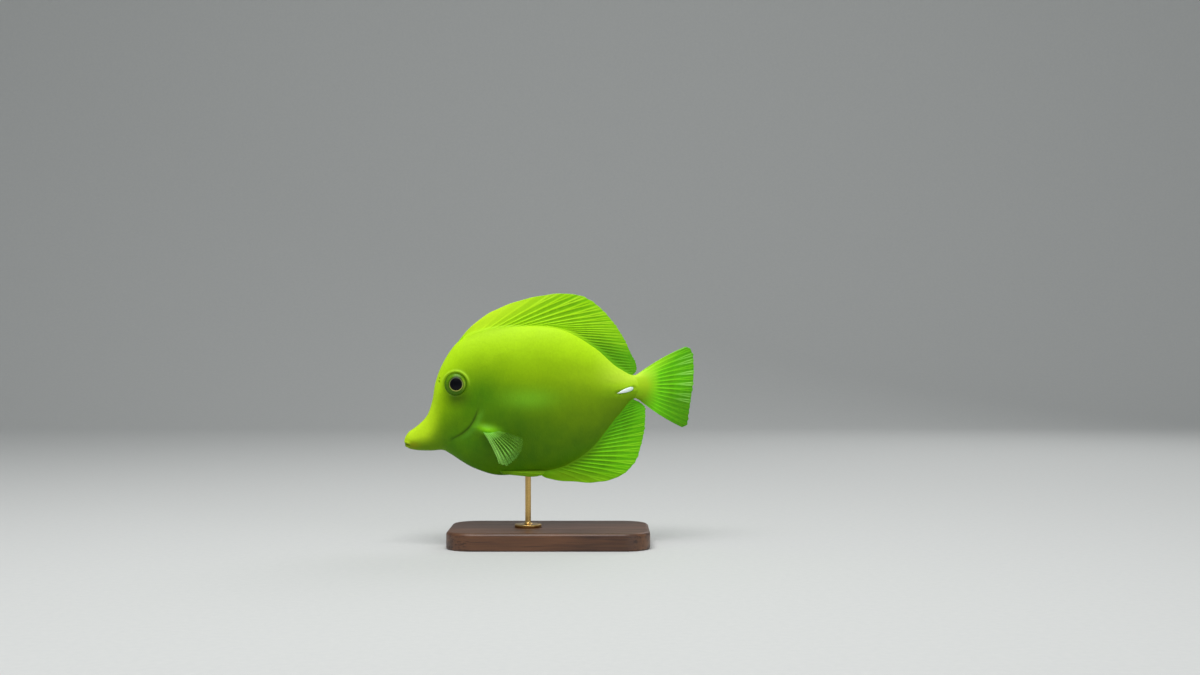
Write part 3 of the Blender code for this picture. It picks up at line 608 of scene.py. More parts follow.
def skin_finish():
    """The flank's colours by height, painted shade below and painted light above, plus slow noise, then
    each layer, then fine grain.
    """
    made, tree, shader = finish("skin", Specular_IOR_Level=0.12)
    wander = maths(tree, "MULTIPLY_ADD", grain(tree, 55, (1, 1, 1.6)), 0.16)
    wander.node.inputs[2].default_value = -0.08
    colour = ramp(tree, maths(tree, "ADD", mask(tree, "back"), wander), FLANK_COLOURS)

    def both(value, name):
        """The value times the mask of that name."""
        return times(tree, value, mask(tree, name))

    gill, eye = mask(tree, "gill"), mask(tree, "eye")
    colour = layered(
        tree,
        colour,
        (
            ("rear", 0.35, screen(190, 236, 30)),
            # Painted light along the belly's keel, where the body turns under into shade.
            ("keel", 0.45, screen(112, 164, 0)),
            # Painted shade and painted light by height on the tail stem.
            ("stem", 0.9, ramp(tree, mask(tree, "height"), STEM_COLOURS)),
            ("flank", 0.35, screen(112, 138, 0)),
            ("breast", 0.72, screen(34, 98, 0)),
            ("cheek", 0.8, screen(38, 112, 0)),
            # Painted shade in the crease at the back fin's foot.
            ("valley_shade", 0.6, screen(158, 204, 6)),
            ("jaw", 0.6, screen(114, 152, 8)),
            ("throat", 0.4, screen(64, 142, 10)),
            ("patch", 0.5, screen(126, 206, 46)),
            # The snout's own yellow, brighter on its upper side with painted light.
            ("snout", 0.85, screen(212, 250, 40)),
            ("chin", 0.6, screen(150, 150, 0)),
            ("shoulder", 0.85, screen(138, 230, 20)),
            ("under_eye", 0.9, screen(30, 72, 0)),
            (both(bell_of(tree, gill, -2.4, 1.5), "slit"), 0.4, screen(96, 176, 54)),
            # Painted shade behind the step of the gill cover, and darker painted shade in the gill slit.
            (both(bell_of(tree, gill, -0.5, 2.2), "cover"), 0.35, screen(44, 108, 0)),
            (both(bell_of(tree, gill, -0.25, 0.42), "slit"), 0.85, screen(22, 66, 2)),
            # Painted shade in the groove round the eye.
            (bell_of(tree, eye, 5.9, 0.9), 0.4, screen(44, 86, 0)),
            (both(bell_of(tree, eye, 6.3, 0.9), "over_eye"), 0.3, screen(110, 170, 12)),
            # Painted highlight on the top of the bone round the eye.
            (both(bell_of(tree, eye, 7.1, 0.5), "over_eye"), 0.6, screen(200, 248, 60)),
            # Painted shade in the eye's socket.
            ("socket", 0.7, screen(50, 84, 2)),
            ("lips", 0.3, screen(214, 240, 40)),
            # Painted shade in the mouth's parting, in the nostrils and in the blade's groove.
            (both(bell_of(tree, mask(tree, "mouth"), 0.0, 0.28), "gape"), 0.4, screen(110, 110, 0)),
            ("nostril", 0.5, screen(80, 98, 8)),
            ("groove", 0.3, screen(110, 140, 10)),
            ("lateral", 0.06, screen(146, 160, 10)),
        ),
    )
    scales = cells(tree, 1500, (1, 1, 0.55))
    fine = grain(tree, 1100, (1, 1, 0.6), detail=4)
    soft = grain(tree, 150, (1, 1, 0.7))
    colour = mixed(tree, spread(tree, fine, 0.0, 0.45), colour, screen(176, 190, 60), "MULTIPLY")
    colour = mixed(tree, spread(tree, soft, 0.0, 0.14), colour, screen(190, 230, 0))
    rough = maths(tree, "ADD", spread(tree, soft, 0.42, 0.6), spread(tree, fine, -0.06, 0.06))
    height = maths(tree, "ADD", times(tree, scales, 0.5), fine)
    wire(tree, shader, colour, rough, height, depth=0.00014, strength=0.6)
    return made


add_piece("skin", skin_mesh(), skin_finish(), "skin", "head", "trunk", "tail_stem")

# %% [markdown]
# ## Eyes
#
# A fish's eye has no eyelid: it is a ball set in a socket, with a clear front and a thin
# pale ring round a pupil that bulges a little. It could be turned as a glass dome over a
# painted disc. Here the ball is one closed surface whose colour depends on the distance
# from its own axis, under a clear coat for the gloss. Its axis lies between the cheek's
# own direction and straight out to the side.

# %% Places on the flank
def flank(x, z):
    """Distance from the middle plane at (x, z): mean of the nearest points of the form."""
    shares, angles = np.linspace(0.01, 0.99, 500), np.linspace(0.02, math.pi - 0.02, 200)
    form = body_points(shares, angles).reshape(-1, 3)
    away = np.hypot(form[:, 0] - x, form[:, 2] - z)
    near = np.argsort(away)[:4]
    return float(np.average(-form[near, 1], weights=1 / (away[near] + 0.01)))


def outward(x, z, side):
    """Unit normal (-dy/dx, 1, -dy/dz) of the flank, turned to that side."""
    step = 1.5
    by_x = (flank(x + step, z) - flank(x - step, z)) / (2 * step)
    by_z = (flank(x, z + step) - flank(x, z - step)) / (2 * step)
    normal = np.array((-by_x, side, -by_z))
    return normal / np.linalg.norm(normal)


print("half width at the eye:", round(flank(*EYE_PLACE), 2), "mm")

# %% Eyes
EYE_RADIUS, EYE_DEPTH, EYE_SINK, EYE_TURN = 6.3, 3.4, 1.9, 0.8
EYE_ROWS, EYE_SIDES = 97, 144
PUPIL_RADIUS, PUPIL_SHIFT, LENS_BULGE = 3.2, 0.4, 0.3


def eye_mesh(name, side):
    """Radius sin(p) across the axis and depth cos(p) along it, plus a bell for the lens."""
    polar = np.linspace(0, math.pi, EYE_ROWS)[:, None]
    turn = np.arange(EYE_SIDES)[None, :] * 2 * math.pi / EYE_SIDES
    across = EYE_RADIUS * np.sin(polar)
    along = EYE_DEPTH * np.cos(polar)
    along = along + np.where(polar < math.pi / 2, LENS_BULGE * bell(across, PUPIL_RADIUS), 0)
    axis = outward(*EYE_PLACE, side) + (0, EYE_TURN * side, 0)
    axis /= np.linalg.norm(axis)
    up = np.array((0, 0, 1)) - axis[2] * axis
    up /= np.linalg.norm(up)
    right = np.cross(up, axis)
    middle = np.array((EYE_PLACE[0], side * flank(*EYE_PLACE), EYE_PLACE[1])) - EYE_SINK * axis
    round_ = np.cos(turn)[..., None] * right + np.sin(turn)[..., None] * up
    points = middle + across[..., None] * round_ + along[..., None] * axis
    spokes = 0.5 + 0.2 * np.sin(31 * turn + 2 * np.sin(5 * turn)) + 0.2 * np.sin(47 * turn + 1.3)
    from_pupil = np.linalg.norm(across[..., None] * round_ - (PUPIL_SHIFT, 0, 0), axis=-1)
    masks = {
        "ring": from_pupil / EYE_RADIUS,
        "spokes": spokes,
        "upper": (np.sin(turn) + 1) / 2,
        "rearward": (round_[..., 0] + 1) / 2,
    }
    return grid_mesh(name, placed(points), masks)


def eye_finish():
    """From the edge in: rim, iris, a pale ring from 0.56 to 0.52 of the radius, pupil."""
    made, tree, shader = finish(
        "eye", roughness=0.3, Specular_IOR_Level=0.1, Coat_Weight=0.14, Coat_Roughness=0.05, Coat_IOR=1.34
    )
    speckle = grain(tree, 1600, detail=4)
    ragged = maths(tree, "ADD", mask(tree, "ring"), spread(tree, speckle, -0.02, 0.02))
    iris = mixed(tree, mask(tree, "spokes"), screen(88, 138, 6), screen(122, 178, 14))
    iris = mixed(tree, spread(tree, speckle, 0.0, 0.4), iris, screen(60, 96, 6))
    upper = mask(tree, "upper")
    # Painted shade from the lid over the top of the iris next to the pupil.
    shade_under_lid = times(tree, falling(tree, ragged, 0.58, 0.74), spread(tree, upper, 0.3, 0.95))
    iris = mixed(tree, shade_under_lid, iris, screen(24, 44, 0))
    glint = bell_of(tree, mask(tree, "rearward"), 1.0, 0.12)
    glint = times(tree, glint, bell_of(tree, ragged, 0.68, 0.06))
    iris = mixed(tree, times(tree, glint, 0.8), iris, screen(170, 206, 40))
    # Painted shade where the ball's edge sinks into the socket.
    rim = rising(tree, ragged, 0.8, 0.95)
    iris = mixed(tree, times(tree, rim, 0.25), iris, screen(44, 84, 8))
    iris = mixed(tree, spread(tree, upper, 0.6, 0.0), iris, screen(36, 80, 2))
    # The pale ring round the pupil, with painted shade on its upper side.
    ring = mixed(tree, upper, screen(196, 204, 90), screen(74, 84, 66))
    colour = mixed(tree, rising(tree, ragged, 0.55, 0.58), ring, iris)
    pupil = rising(tree, mask(tree, "ring"), 0.505, 0.525)
    colour = mixed(tree, pupil, screen(3, 4, 9), colour)
    wire(tree, shader, colour, spread(tree, speckle, 0.25, 0.4))
    return made


eye_paint = eye_finish()
for name, side in (("left_eye", -1), ("right_eye", 1)):
    add_piece(name + "_ball", eye_mesh(name, side), eye_paint, "eye", name)

# %% [markdown]
# ## Fins
#
# A tang's fin is a thin sheet of skin on rays. The first few rays of the back and belly
# fins are hard, single spines. The rest are soft, and each one splits in two towards the
# edge and once more near it, which gives fins their fine combed look. One function makes
# every fin: a grid that runs straight from root to edge along each ray, and two faces that
# stand off it by half the local thickness. That thickness is the web's, plus a ridge over
# each ray and branch. It falls to nothing round the outline, so that the two faces close
# into one sheet. The scaly skin runs a little way up each fin. So the back and belly fins
# swell at the foot, and the tail fin starts as a collar that carries on the oval section
# of the stem.

# %% Rays and sheets of a fin
MEDIAN_ROOT, TAIL_THICK, PECTORAL_THICK, PELVIC_THICK = 1.9, 2.2, 1.6, 1.0
COLUMNS_A_RAY, SUNK_ROWS, FIN_ROWS = 16, 5, 40
RAY_TIP, WEB_ROOT, WEB_TIP, RAY_SHARE = 0.42, 0.8, 0.22, 0.85
SPLIT_FROM, SPLIT_TO = 0.5, 0.2
WEB_LIMIT, LEVEL_SHARE, LOBE_SHARE = 0.6, 0.45, 0.28
SPINE_NOTCH, DEEPEST_CUT = 1.6, 1.2
WAVES, WAVE_LEAN, WAVE_START = 2.2, 0.7, 0.6
ROUNDED_FROM, ROUNDED_ROWS = 0.98, 7


def ridges(place, reach, spines):
    """1 on a ray's crest, 0 on the web: exp(-((|p| - b) / w)²), b the branches' parting."""
    phase = np.abs(place - np.round(place))
    soft = np.round(place) >= spines
    parting = np.where(soft, SPLIT_TO * ease((reach - SPLIT_FROM) / 0.45), 0)
    second = np.where(soft, 0.5 * SPLIT_TO * ease((reach - 0.74) / 0.3), 0)
    width = 0.15 - 0.07 * reach
    crest = bell(phase - parting - second, width) + bell(phase - parting + second, width)
    return np.minimum(crest, 1)


def collar_width(x, z, knots):
    """Width at height h of an oval: 2 w sqrt(1 - h²), with h = -1 below and 1 on top."""
    dense = spline(knots)(np.linspace(0, 1, 400))
    top, low, half = (np.interp(x, dense[:, 0], column) for column in dense.T[1:])
    height = np.clip(2 * (z - low) / (top - low) - 1, -1, 1)
    return 2 * np.clip(half, 0, None) * np.sqrt(1 - height**2)


def edge_cut(place, spines, notch, ragged):
    """Notch (1 - cos 2πp) / 2 between rays, deeper between spines, plus uneven ray tips."""
    nearest = np.round(place)
    cut = notch * (1 - np.cos(2 * math.pi * (place - nearest))) / 2
    cut = cut * np.where(place < spines, SPINE_NOTCH, 1.0)
    jitter = ragged * (np.sin(5.1 * nearest + 1) + np.sin(2.3 * nearest))
    return np.clip(cut + jitter * np.cos(math.pi * (place - nearest)) ** 2, -0.5, DEEPEST_CUT)


def fin_sheet(lines, shares, cut, bow, wave):
    """Point = root + (edge - root) t + 4 t (1 - t) bow + wave t sin(turns) sideways.

    The lines are the foot hidden in the body, the root and the edge, by the share along
    them. Gives the points, t, and the distance from the root, negative in the foot.
    """
    sunk, root, edge = (line(shares) for line in lines)
    length = np.linalg.norm(edge - root, axis=1)
    edge = edge - (edge - root) / length[:, None] * cut[:, None]
    tip = 1 - (1 - np.linspace(0, 1, ROUNDED_ROWS)[1:]) ** 2
    t = [np.linspace(0, ROUNDED_FROM, FIN_ROWS), ROUNDED_FROM + (1 - ROUNDED_FROM) * tip]
    t = np.concatenate(t)[:, None, None]
    fin = root + (edge - root) * t + 4 * t * (1 - t) * (0 if bow is None else bow(shares))
    below = np.linspace(0, 1, SUNK_ROWS, endpoint=False)[:, None, None]
    fin = np.concatenate([sunk + (root - sunk) * below, fin])
    reach = np.concatenate([np.zeros(SUNK_ROWS), t.ravel()])[:, None]
    turns = WAVES * shares + WAVE_LEAN * reach
    fin[..., 1] += wave * reach * np.sin(2 * math.pi * turns + WAVE_START)
    depth = np.linalg.norm(root - sunk, axis=1)
    return fin, reach, np.concatenate([(below[..., 0] - 1) * depth, t[..., 0] * length])


def closing(columns, reach):
    """1 inside, falling to 0 round the outline like a quarter circle."""
    border = np.minimum(np.arange(columns), np.arange(columns)[::-1]) / 2.0
    rounded = np.sqrt(1 - (1 - np.clip(border, 0, 1)) ** 2)[None]
    outer = np.sqrt(1 - np.clip((reach - ROUNDED_FROM) / (1 - ROUNDED_FROM), 0, 1) ** 2)
    outer[0] = 0
    return rounded * outer


def see_through(crest, shares, reach, fore):
    """1 on the web and 0 on the rays, less on the first rays, and evenly high on the last."""
    fading = ease((reach - 0.68) / 0.25)
    clear = (1 - crest * (1 - 0.8 * fading)) * ease((reach - 0.2) / 0.15) * (1 - 0.15 * fading)
    thin = 0.8 * ease((shares - 0.45) / 0.4) * ease((reach - 0.2) / 0.3)
    return clear * (1 - 0.6 * fore * ease((1.05 - reach) / 0.4)) + (0.9 - clear) * thin


# %% Fin builder
def fin_mesh(
    name,
    lines,
    rays,
    thickness,
    streaks,
    relief_from=(-1.0, 0.0),
    spines=0,
    crowd=0.0,
    shade_side=1,
    bow=None,
    notch=0.25,
    wave=0.0,
    ragged=0.12,
    swell=(0.5, 1.6),
    swell_taper=0.0,
    grow=5.0,
    relief_share=1.0,
    aft=(0.4, 0.0),
    sheath=(0.0, 1.5),
    lobes=0.0,
    collar=None,
):
    """Sheet plus and minus half its thickness along its normal.

    Rays stand closer to the rear: place = (1 - c) s + c s², c the crowding. Thickness =
    level + (ridge or web - level) relief. The relief is at most relief_share, and faint
    before relief_from, nearer the root than grow and on the two lobes. The foot gains the
    swell's height times a bell of its reach, less at both ends by the taper. A collar adds
    its width: the root of the sum of both squares. shade_side is the side of each ray that
    gets painted shade. Sheath and aft say where the streaks and the rear colour begin and
    how soon they are full.
    """
    columns = (rays - 1) * COLUMNS_A_RAY + 1
    even = np.linspace(0, 1, 3000)
    shares = np.interp(np.linspace(0, 1, columns), (1 - crowd) * even + crowd * even**2, even)
    place = np.linspace(0, rays - 1, columns)
    fin, reach, far = fin_sheet(lines, shares, edge_cut(place, spines, notch, ragged), bow, wave)
    crest = ridges(place[None], reach, spines)
    shown = ease((shares - relief_from[0]) / (relief_from[1] - relief_from[0]))[None]
    shown = shown * (1 - lobes * (1 - bell(shares - 0.5, LOBE_SHARE)))
    grown = ease(far / grow)
    ray = RAY_SHARE * (RAY_TIP + (thickness - RAY_TIP) * (1 - reach) ** 1.5)
    web = np.minimum(WEB_TIP + (WEB_ROOT - WEB_TIP) * (1 - reach) ** 2, WEB_LIMIT * ray)
    level = web + (ray - web) * LEVEL_SHARE
    drawn = relief_share * (0.15 + 0.85 * shown) * (0.05 + 0.95 * grown)
    whole = level + (web + (ray - web) * crest - level) * drawn
    whole = whole + swell[0] * np.sin(math.pi * shares) ** swell_taper * bell(far, swell[1])
    if collar:
        whole = np.hypot(whole, collar_width(fin[..., 0], fin[..., 2], collar))
    normal = np.cross(np.gradient(fin, axis=0), np.gradient(fin, axis=1))
    normal /= np.maximum(np.linalg.norm(normal, axis=-1, keepdims=True), 1e-9)
    half = (whole * closing(columns, reach) / 2)[..., None]
    points = np.concatenate([fin + normal * half, (fin - normal * half)[:, ::-1]], axis=1)
    # Painted shade in the streaks on the lower side of each ray.
    past = place - np.floor(place) if shade_side > 0 else np.ceil(place) - place
    shade = (1 - crest) * (1 - 0.7 * ease(past)) * shown
    fore = ease((0.28 - shares) / 0.2)[None] * (0.35 + 0.65 * ease(far / 6))
    # Painted highlights on the ends of some rays.
    ray_end_highlights = crest**5 * ease((reach - 0.55) / 0.35) * ease((0.8 - shares) / 0.15)
    masks = {
        "crest": crest * grown + 0.5 * (1 - grown),
        "reach": reach + 0 * crest,
        "far": far,
        "fore": fore,
        "down": shares[None] + 0 * crest,
        "aft": ease((shares - aft[0]) / 0.3)[None] * ease((reach + 1e-6) / (aft[1] + 1e-6)),
        "height": stem_height(fin[..., 2]),
        "clear": see_through(crest, shares, reach, fore),
        "tip": ray_end_highlights * np.clip(0.4 + np.sin(2.7 * np.round(place) + 1), 0, 1),
        "streak": shade * streaks(shares[None], reach) * ease((far - sheath[0]) / sheath[1]),
    }
    masks = {key: np.concatenate([value, value[:, ::-1]], axis=1) for key, value in masks.items()}
    return grid_mesh(name, placed(points), masks)


# %% Lines that fins run between
def in_middle_plane(line):
    """The side-view line as points in the middle plane."""
    return lambda shares: np.insert(line(shares), 1, 0, axis=1)


def fin_base(side, span, depth):
    """The back's or belly's outline between two x places, at even shares, and that deep in."""
    outline = BODY(np.linspace(0, 1, 600))[:, side]
    outline = outline[(outline[:, 0] > span[0]) & (outline[:, 0] < span[1])]
    along = np.gradient(outline, axis=0)
    along /= np.linalg.norm(along, axis=1)[:, None]
    inwards = np.stack([along[:, 1], -along[:, 0]], axis=-1) * (1 if side == TOP else -1)
    lengths = np.linalg.norm(np.diff(outline, axis=0), axis=1)
    places = np.concatenate([[0], np.cumsum(lengths)]) / lengths.sum()
    outline = outline + depth * inwards
    return lambda shares: np.stack([np.interp(shares, places, c) for c in outline.T], axis=-1)


def swept(edge, sweep):
    """The fin's edge at the place that the ray from each share of the base runs to."""
    outline, pairs = spline(edge), spline(sweep, slice(0, 1))
    return lambda shares: outline(pairs(shares)[:, 1])


# %% Outlines of the back fin and the belly fin
DORSAL_BASE = (-48.0, 43.0)
DORSAL_EDGE = (
    (-48.4, 21.9), (-44.6, 27.0), (-36.0, 35.1), (-27.2, 40.3), (-16.3, 44.5), (-3.8, 47.4),
    (8.7, 48.4), (17.0, 47.1), (24.8, 42.6), (32.1, 35.1), (38.4, 26.0), (43.0, 16.4),
    (45.4, 11.2), (45.5, 8.6), (44.3, 6.8),
)
DORSAL_SWEEP = ((0, 0), (0.10, 0.22), (0.22, 0.50), (0.35, 0.67), (0.65, 0.85), (0.85, 0.95), (1, 1))
ANAL_BASE = (-4.3, 43.4)
ANAL_EDGE = (
    (-4.5, -46.1), (-2.4, -47.4), (2.2, -48.7), (11.8, -49.5), (24.3, -49.9), (32.6, -48.4),
    (39.9, -44.7), (45.1, -38.7), (48.0, -30.4), (49.9, -20.0), (50.1, -13.8), (49.9, -10.8),
    (48.6, -9.1), (46.2, -7.8),
)
ANAL_SWEEP = ((0, 0), (0.12, 0.35), (0.34, 0.62), (0.66, 0.87), (0.85, 0.965), (1, 1))
TAIL_SUNK = ((40.5, 3.6), (42.8, 2.2), (43.5, -0.1), (42.8, -2.4), (40.8, -3.9))
# Each row: x, the core's top and underside, half its width.
TAIL_COLLAR = (
    (40.0, 7.0, -8.4, 2.5),
    (44.3, 5.8, -6.2, 2.75),
    (46.5, 6.5, -7.0, 2.5),
    (48.5, 7.9, -8.2, 2.15),
    (51.0, 9.4, -9.8, 1.7),
    (54.0, 11.1, -11.7, 1.05),
    (57.0, 12.8, -13.6, 0.5),
    (62.0, 15.7, -16.8, 0.0),
)
TAIL_ROOT = ((45.9, 6.5), (49.6, 4.4), (51.0, 0.0), (49.8, -4.4), (46.8, -7.1))
TAIL_EDGE = (
    (71.0, 20.8), (73.3, 20.0), (74.6, 17.6), (75.4, 11.5), (75.3, 4.0),
    (74.5, -3.0), (73.4, -10.5), (72.3, -17.2), (71.8, -20.2), (69.3, -21.4),
)
PECTORAL_SUNK = ((-36.0, 7.4, -20.6), (-28.6, 8.0, -20.0))
PECTORAL_ROOT = ((-33.9, 10.0, -22.9), (-25.6, 10.1, -22.9))
PECTORAL_EDGE = (
    (-24.8, 24.6, -38.3),
    (-21.2, 24.8, -39.2),
    (-16.6, 23.2, -36.4),
    (-13.4, 20.4, -31.6),
    (-12.6, 17.6, -26.4),
)
PELVIC_SUNK = ((-28.2, 1.4, -42.2), (-26.4, 1.0, -43.4))
PELVIC_ROOT = ((-24.4, 3.1, -43.6), (-23.4, 2.5, -45.3))
PELVIC_EDGE = ((-2.0, 3.1, -43.6), (-2.4, 3.3, -45.0), (-5.0, 3.1, -46.2), (-9.5, 2.7, -46.7))

# %% [markdown]
# ## Paint on the fins
#
# On a living fin, light comes through the web while the rays stay solid and bright. The
# paint copies that: rays over a deeper web, and an edge that is deeper still on the fins
# of back, belly and tail. Dark streaks lie along the rays, on the back fin mostly between
# the rear ones, with painted shade on the lower side of each ray. Painted highlights catch
# the ends of some rays. The breast fins are the clearest of all, so their web lets what
# lies behind them show.

# %% Fin finishes
JOINTS_A_MM = 1.1
# By height on the tail fin's root, as on the stem: painted shade below, painted light on top.
TAIL_ROOT_COLOURS = (
    (0.0, screen(100, 144, 0)),
    (0.3, screen(134, 186, 10)),
    (0.55, screen(168, 214, 24)),
    (0.8, screen(184, 230, 40)),
    (1.0, screen(218, 255, 74)),
)


def fin_finish(
    name,
    flesh,
    web,
    ray,
    edge,
    streak,
    edge_from=0.45,
    fore=None,
    aft=None,
    aft_share=0.7,
    crown=None,
    tip=None,
    tips=0.0,
    clearness=0.0,
):
    """Ray over web by the crest, flesh at the root, the edge by the reach, then streaks.

    Flesh is one colour, or colours by height with painted shade below and painted light
    on top. Fore and aft tint the first rays and the last ones, and the crown a slanting
    band below the upper lobe's edge. The edge spares the rays by the share called tips,
    and tip is the colour of a painted highlight on the ends of some rays. Clearness lets
    light through the web.
    """
    made, tree, shader = finish(name, Specular_IOR_Level=0.14)
    fine = grain(tree, 1300, (0.5, 1, 0.5), detail=4)
    soft = grain(tree, 210, (1, 1, 0.4))
    crest, reach = mask(tree, "crest"), mask(tree, "reach")
    colour = mixed(tree, crest, web, ray)
    if isinstance(flesh[0], tuple):
        flesh = ramp(tree, mask(tree, "height"), flesh)
    colour = mixed(tree, falling(tree, reach, 0.0, 0.3), colour, flesh)
    outer = rising(tree, reach, edge_from, 1.0)
    outer = times(tree, outer, spread(tree, crest, 0.75, 0.75 * (1 - tips)))
    colour = mixed(tree, outer, colour, edge)
    if fore:
        colour = mixed(tree, mask(tree, "fore"), colour, fore)
    if aft:
        colour = mixed(tree, times(tree, mask(tree, "aft"), aft_share), colour, aft)
    if crown:
        slant = maths(tree, "ADD", reach, times(tree, mask(tree, "down"), 2.4))
        high = times(tree, falling(tree, slant, 0.4, 0.95), 0.75)
        colour = mixed(tree, times(tree, high, rising(tree, reach, 0.0, 0.2)), colour, crown)
    joints = maths(tree, "SINE", times(tree, mask(tree, "far"), JOINTS_A_MM * 2 * math.pi))
    joints = times(tree, joints, crest)
    patchy = ramp(tree, soft, ((0.3, GREY), (0.65, WHITE)))
    dark = times(tree, mask(tree, "streak"), patchy)
    colour = mixed(tree, times(tree, dark, 0.85), colour, streak)
    colour = mixed(tree, spread(tree, fine, 0.0, 0.2), colour, screen(190, 232, 20))
    # Painted highlights on the ends of some rays.
    if tip:
        colour = mixed(tree, times(tree, mask(tree, "tip"), 0.6), colour, tip)
    colour = mixed(tree, times(tree, joints, 0.04), colour, web)
    height = maths(tree, "ADD", fine, times(tree, joints, 0.2))
    wire(tree, shader, colour, spread(tree, soft, 0.4, 0.58), height, depth=0.00008, strength=0.45)
    if clearness:
        through = times(tree, mask(tree, "clear"), clearness)
        tree.links.new(maths(tree, "SUBTRACT", 1.0, through), shader.inputs["Alpha"])
    return made


lime_fin = fin_finish(
    "back_fin",
    flesh=screen(168, 222, 6),
    web=screen(148, 222, 0),
    ray=screen(188, 252, 14),
    edge=screen(104, 194, 8),
    streak=screen(46, 110, 0),
    fore=screen(210, 254, 40),
    aft=screen(20, 146, 0),
    aft_share=0.8,
    tips=0.4,
    tip=screen(196, 252, 50),
)
belly_fin = fin_finish(
    "belly_fin",
    flesh=screen(80, 138, 0),
    web=screen(96, 196, 0),
    ray=screen(132, 232, 6),
    edge=screen(66, 164, 2),
    streak=screen(38, 104, 0),
    fore=screen(112, 174, 0),
    aft=screen(66, 180, 0),
    tips=0.4,
    tip=screen(160, 236, 40),
)
tail_paint = fin_finish(
    "tail_fin",
    flesh=TAIL_ROOT_COLOURS,
    web=screen(96, 214, 8),
    ray=screen(128, 242, 24),
    edge=screen(20, 130, 6),
    streak=screen(24, 92, 2),
    edge_from=0.35,
    aft=screen(24, 112, 0),
    crown=screen(178, 246, 44),
    tips=0.3,
    tip=screen(176, 244, 120),
)
clear_paint = fin_finish(
    "breast_fin",
    flesh=screen(134, 222, 88),
    web=screen(44, 108, 20),
    ray=screen(112, 184, 64),
    edge=screen(50, 126, 58),
    streak=screen(26, 80, 4),
    edge_from=0.55,
    fore=screen(126, 192, 88),
    aft=screen(54, 118, 20),
    clearness=0.92,
)
small_paint = fin_finish(
    "pelvic_fin",
    flesh=screen(72, 130, 0),
    web=screen(104, 164, 0),
    ray=screen(140, 196, 4),
    edge=screen(104, 168, 4),
    streak=screen(60, 100, 0),
)


def dorsal_streaks(along, reach):
    """Past the first tenth of the front rays, and from the root to 0.85 of the rear ones."""
    rear = ease((along - 0.4) / 0.25)
    front_ray = ease((reach - 0.1) / 0.3) * ease((1.02 - reach) / 0.2)
    return ease((along - 0.1) / 0.2) * ((1 - rear) * 0.8 * front_ray + rear * ease((0.85 - reach) / 0.4))


def anal_streaks(along, reach):
    """From the root, fading between half and nine tenths of the way to the edge."""
    return ease((along - 0.06) / 0.15) * ease((0.9 - reach) / 0.4)


def tail_streaks(along, reach):
    """Dark just past the scaly root, paler outwards, and faint on the two lobes."""
    start = 0.17 + 0.9 * (along - 0.5) ** 2
    outwards = 1 - 0.55 * ease((reach - 0.5) / 0.35)
    return ease((reach - start) / 0.13) * outwards * (0.2 + 0.8 * bell(along - 0.5, 0.28))


def even_streaks(along, reach):
    """Alike on all rays, and full from 0.15 of their length."""
    return ease(reach / 0.15) + 0 * along


# %% Back fin and belly fin
DORSAL_SPINES, DORSAL_RAYS, ANAL_SPINES, ANAL_RAYS = 5, 26, 3, 22
ROOT_DEPTH, SUNK_DEPTH, FOOT_SWELL, FOOT_TAPER = 0.8, 3.0, (1.5, 2.4), 0.35


def median_fin(name, side, base, outline, spines, rays, streaks, **forms):
    """A fin in the middle plane, from the body's top or underside to its own outline."""
    lines = (fin_base(side, base, SUNK_DEPTH), fin_base(side, base, ROOT_DEPTH), outline)
    lines = [in_middle_plane(line) for line in lines]
    foot = {"swell": FOOT_SWELL, "swell_taper": FOOT_TAPER}
    return fin_mesh(name, lines, spines + rays, MEDIAN_ROOT, streaks, spines=spines, **foot, **forms)


dorsal = median_fin(
    "dorsal",
    TOP,
    DORSAL_BASE,
    swept(DORSAL_EDGE, DORSAL_SWEEP),
    DORSAL_SPINES,
    DORSAL_RAYS,
    dorsal_streaks,
    relief_from=(0.06, 0.3),
    crowd=0.25,
    wave=0.4,
    aft=(0.52, 0.0),
    sheath=(2.0, 3.0),
)
add_piece("dorsal", dorsal, lime_fin, "fin", "dorsal_fin")
anal = median_fin(
    "anal",
    UNDERSIDE,
    ANAL_BASE,
    swept(ANAL_EDGE, ANAL_SWEEP),
    ANAL_SPINES,
    ANAL_RAYS,
    anal_streaks,
    relief_from=(0.0, 0.2),
    crowd=0.15,
    shade_side=-1,
    wave=-0.4,
    sheath=(0.8, 2.2),
)
add_piece("anal", anal, belly_fin, "fin", "anal_fin")

# %% Tail fin
TAIL_RAYS, TAIL_BOW = 16, 1.0
tail = fin_mesh(
    "tail",
    [in_middle_plane(spline(knots)) for knots in (TAIL_SUNK, TAIL_ROOT, TAIL_EDGE)],
    TAIL_RAYS,
    TAIL_THICK,
    tail_streaks,
    bow=lambda shares: np.outer(TAIL_BOW * (1 - 2 * shares), (0, 0, 1)),
    wave=0.3,
    swell=(0.0, 1.0),
    collar=TAIL_COLLAR,
    grow=9.0,
    relief_share=0.42,
    aft=(0.45, 0.9),
    lobes=0.5,
)
add_piece("tail", tail, tail_paint, "fin", "tail_fin")

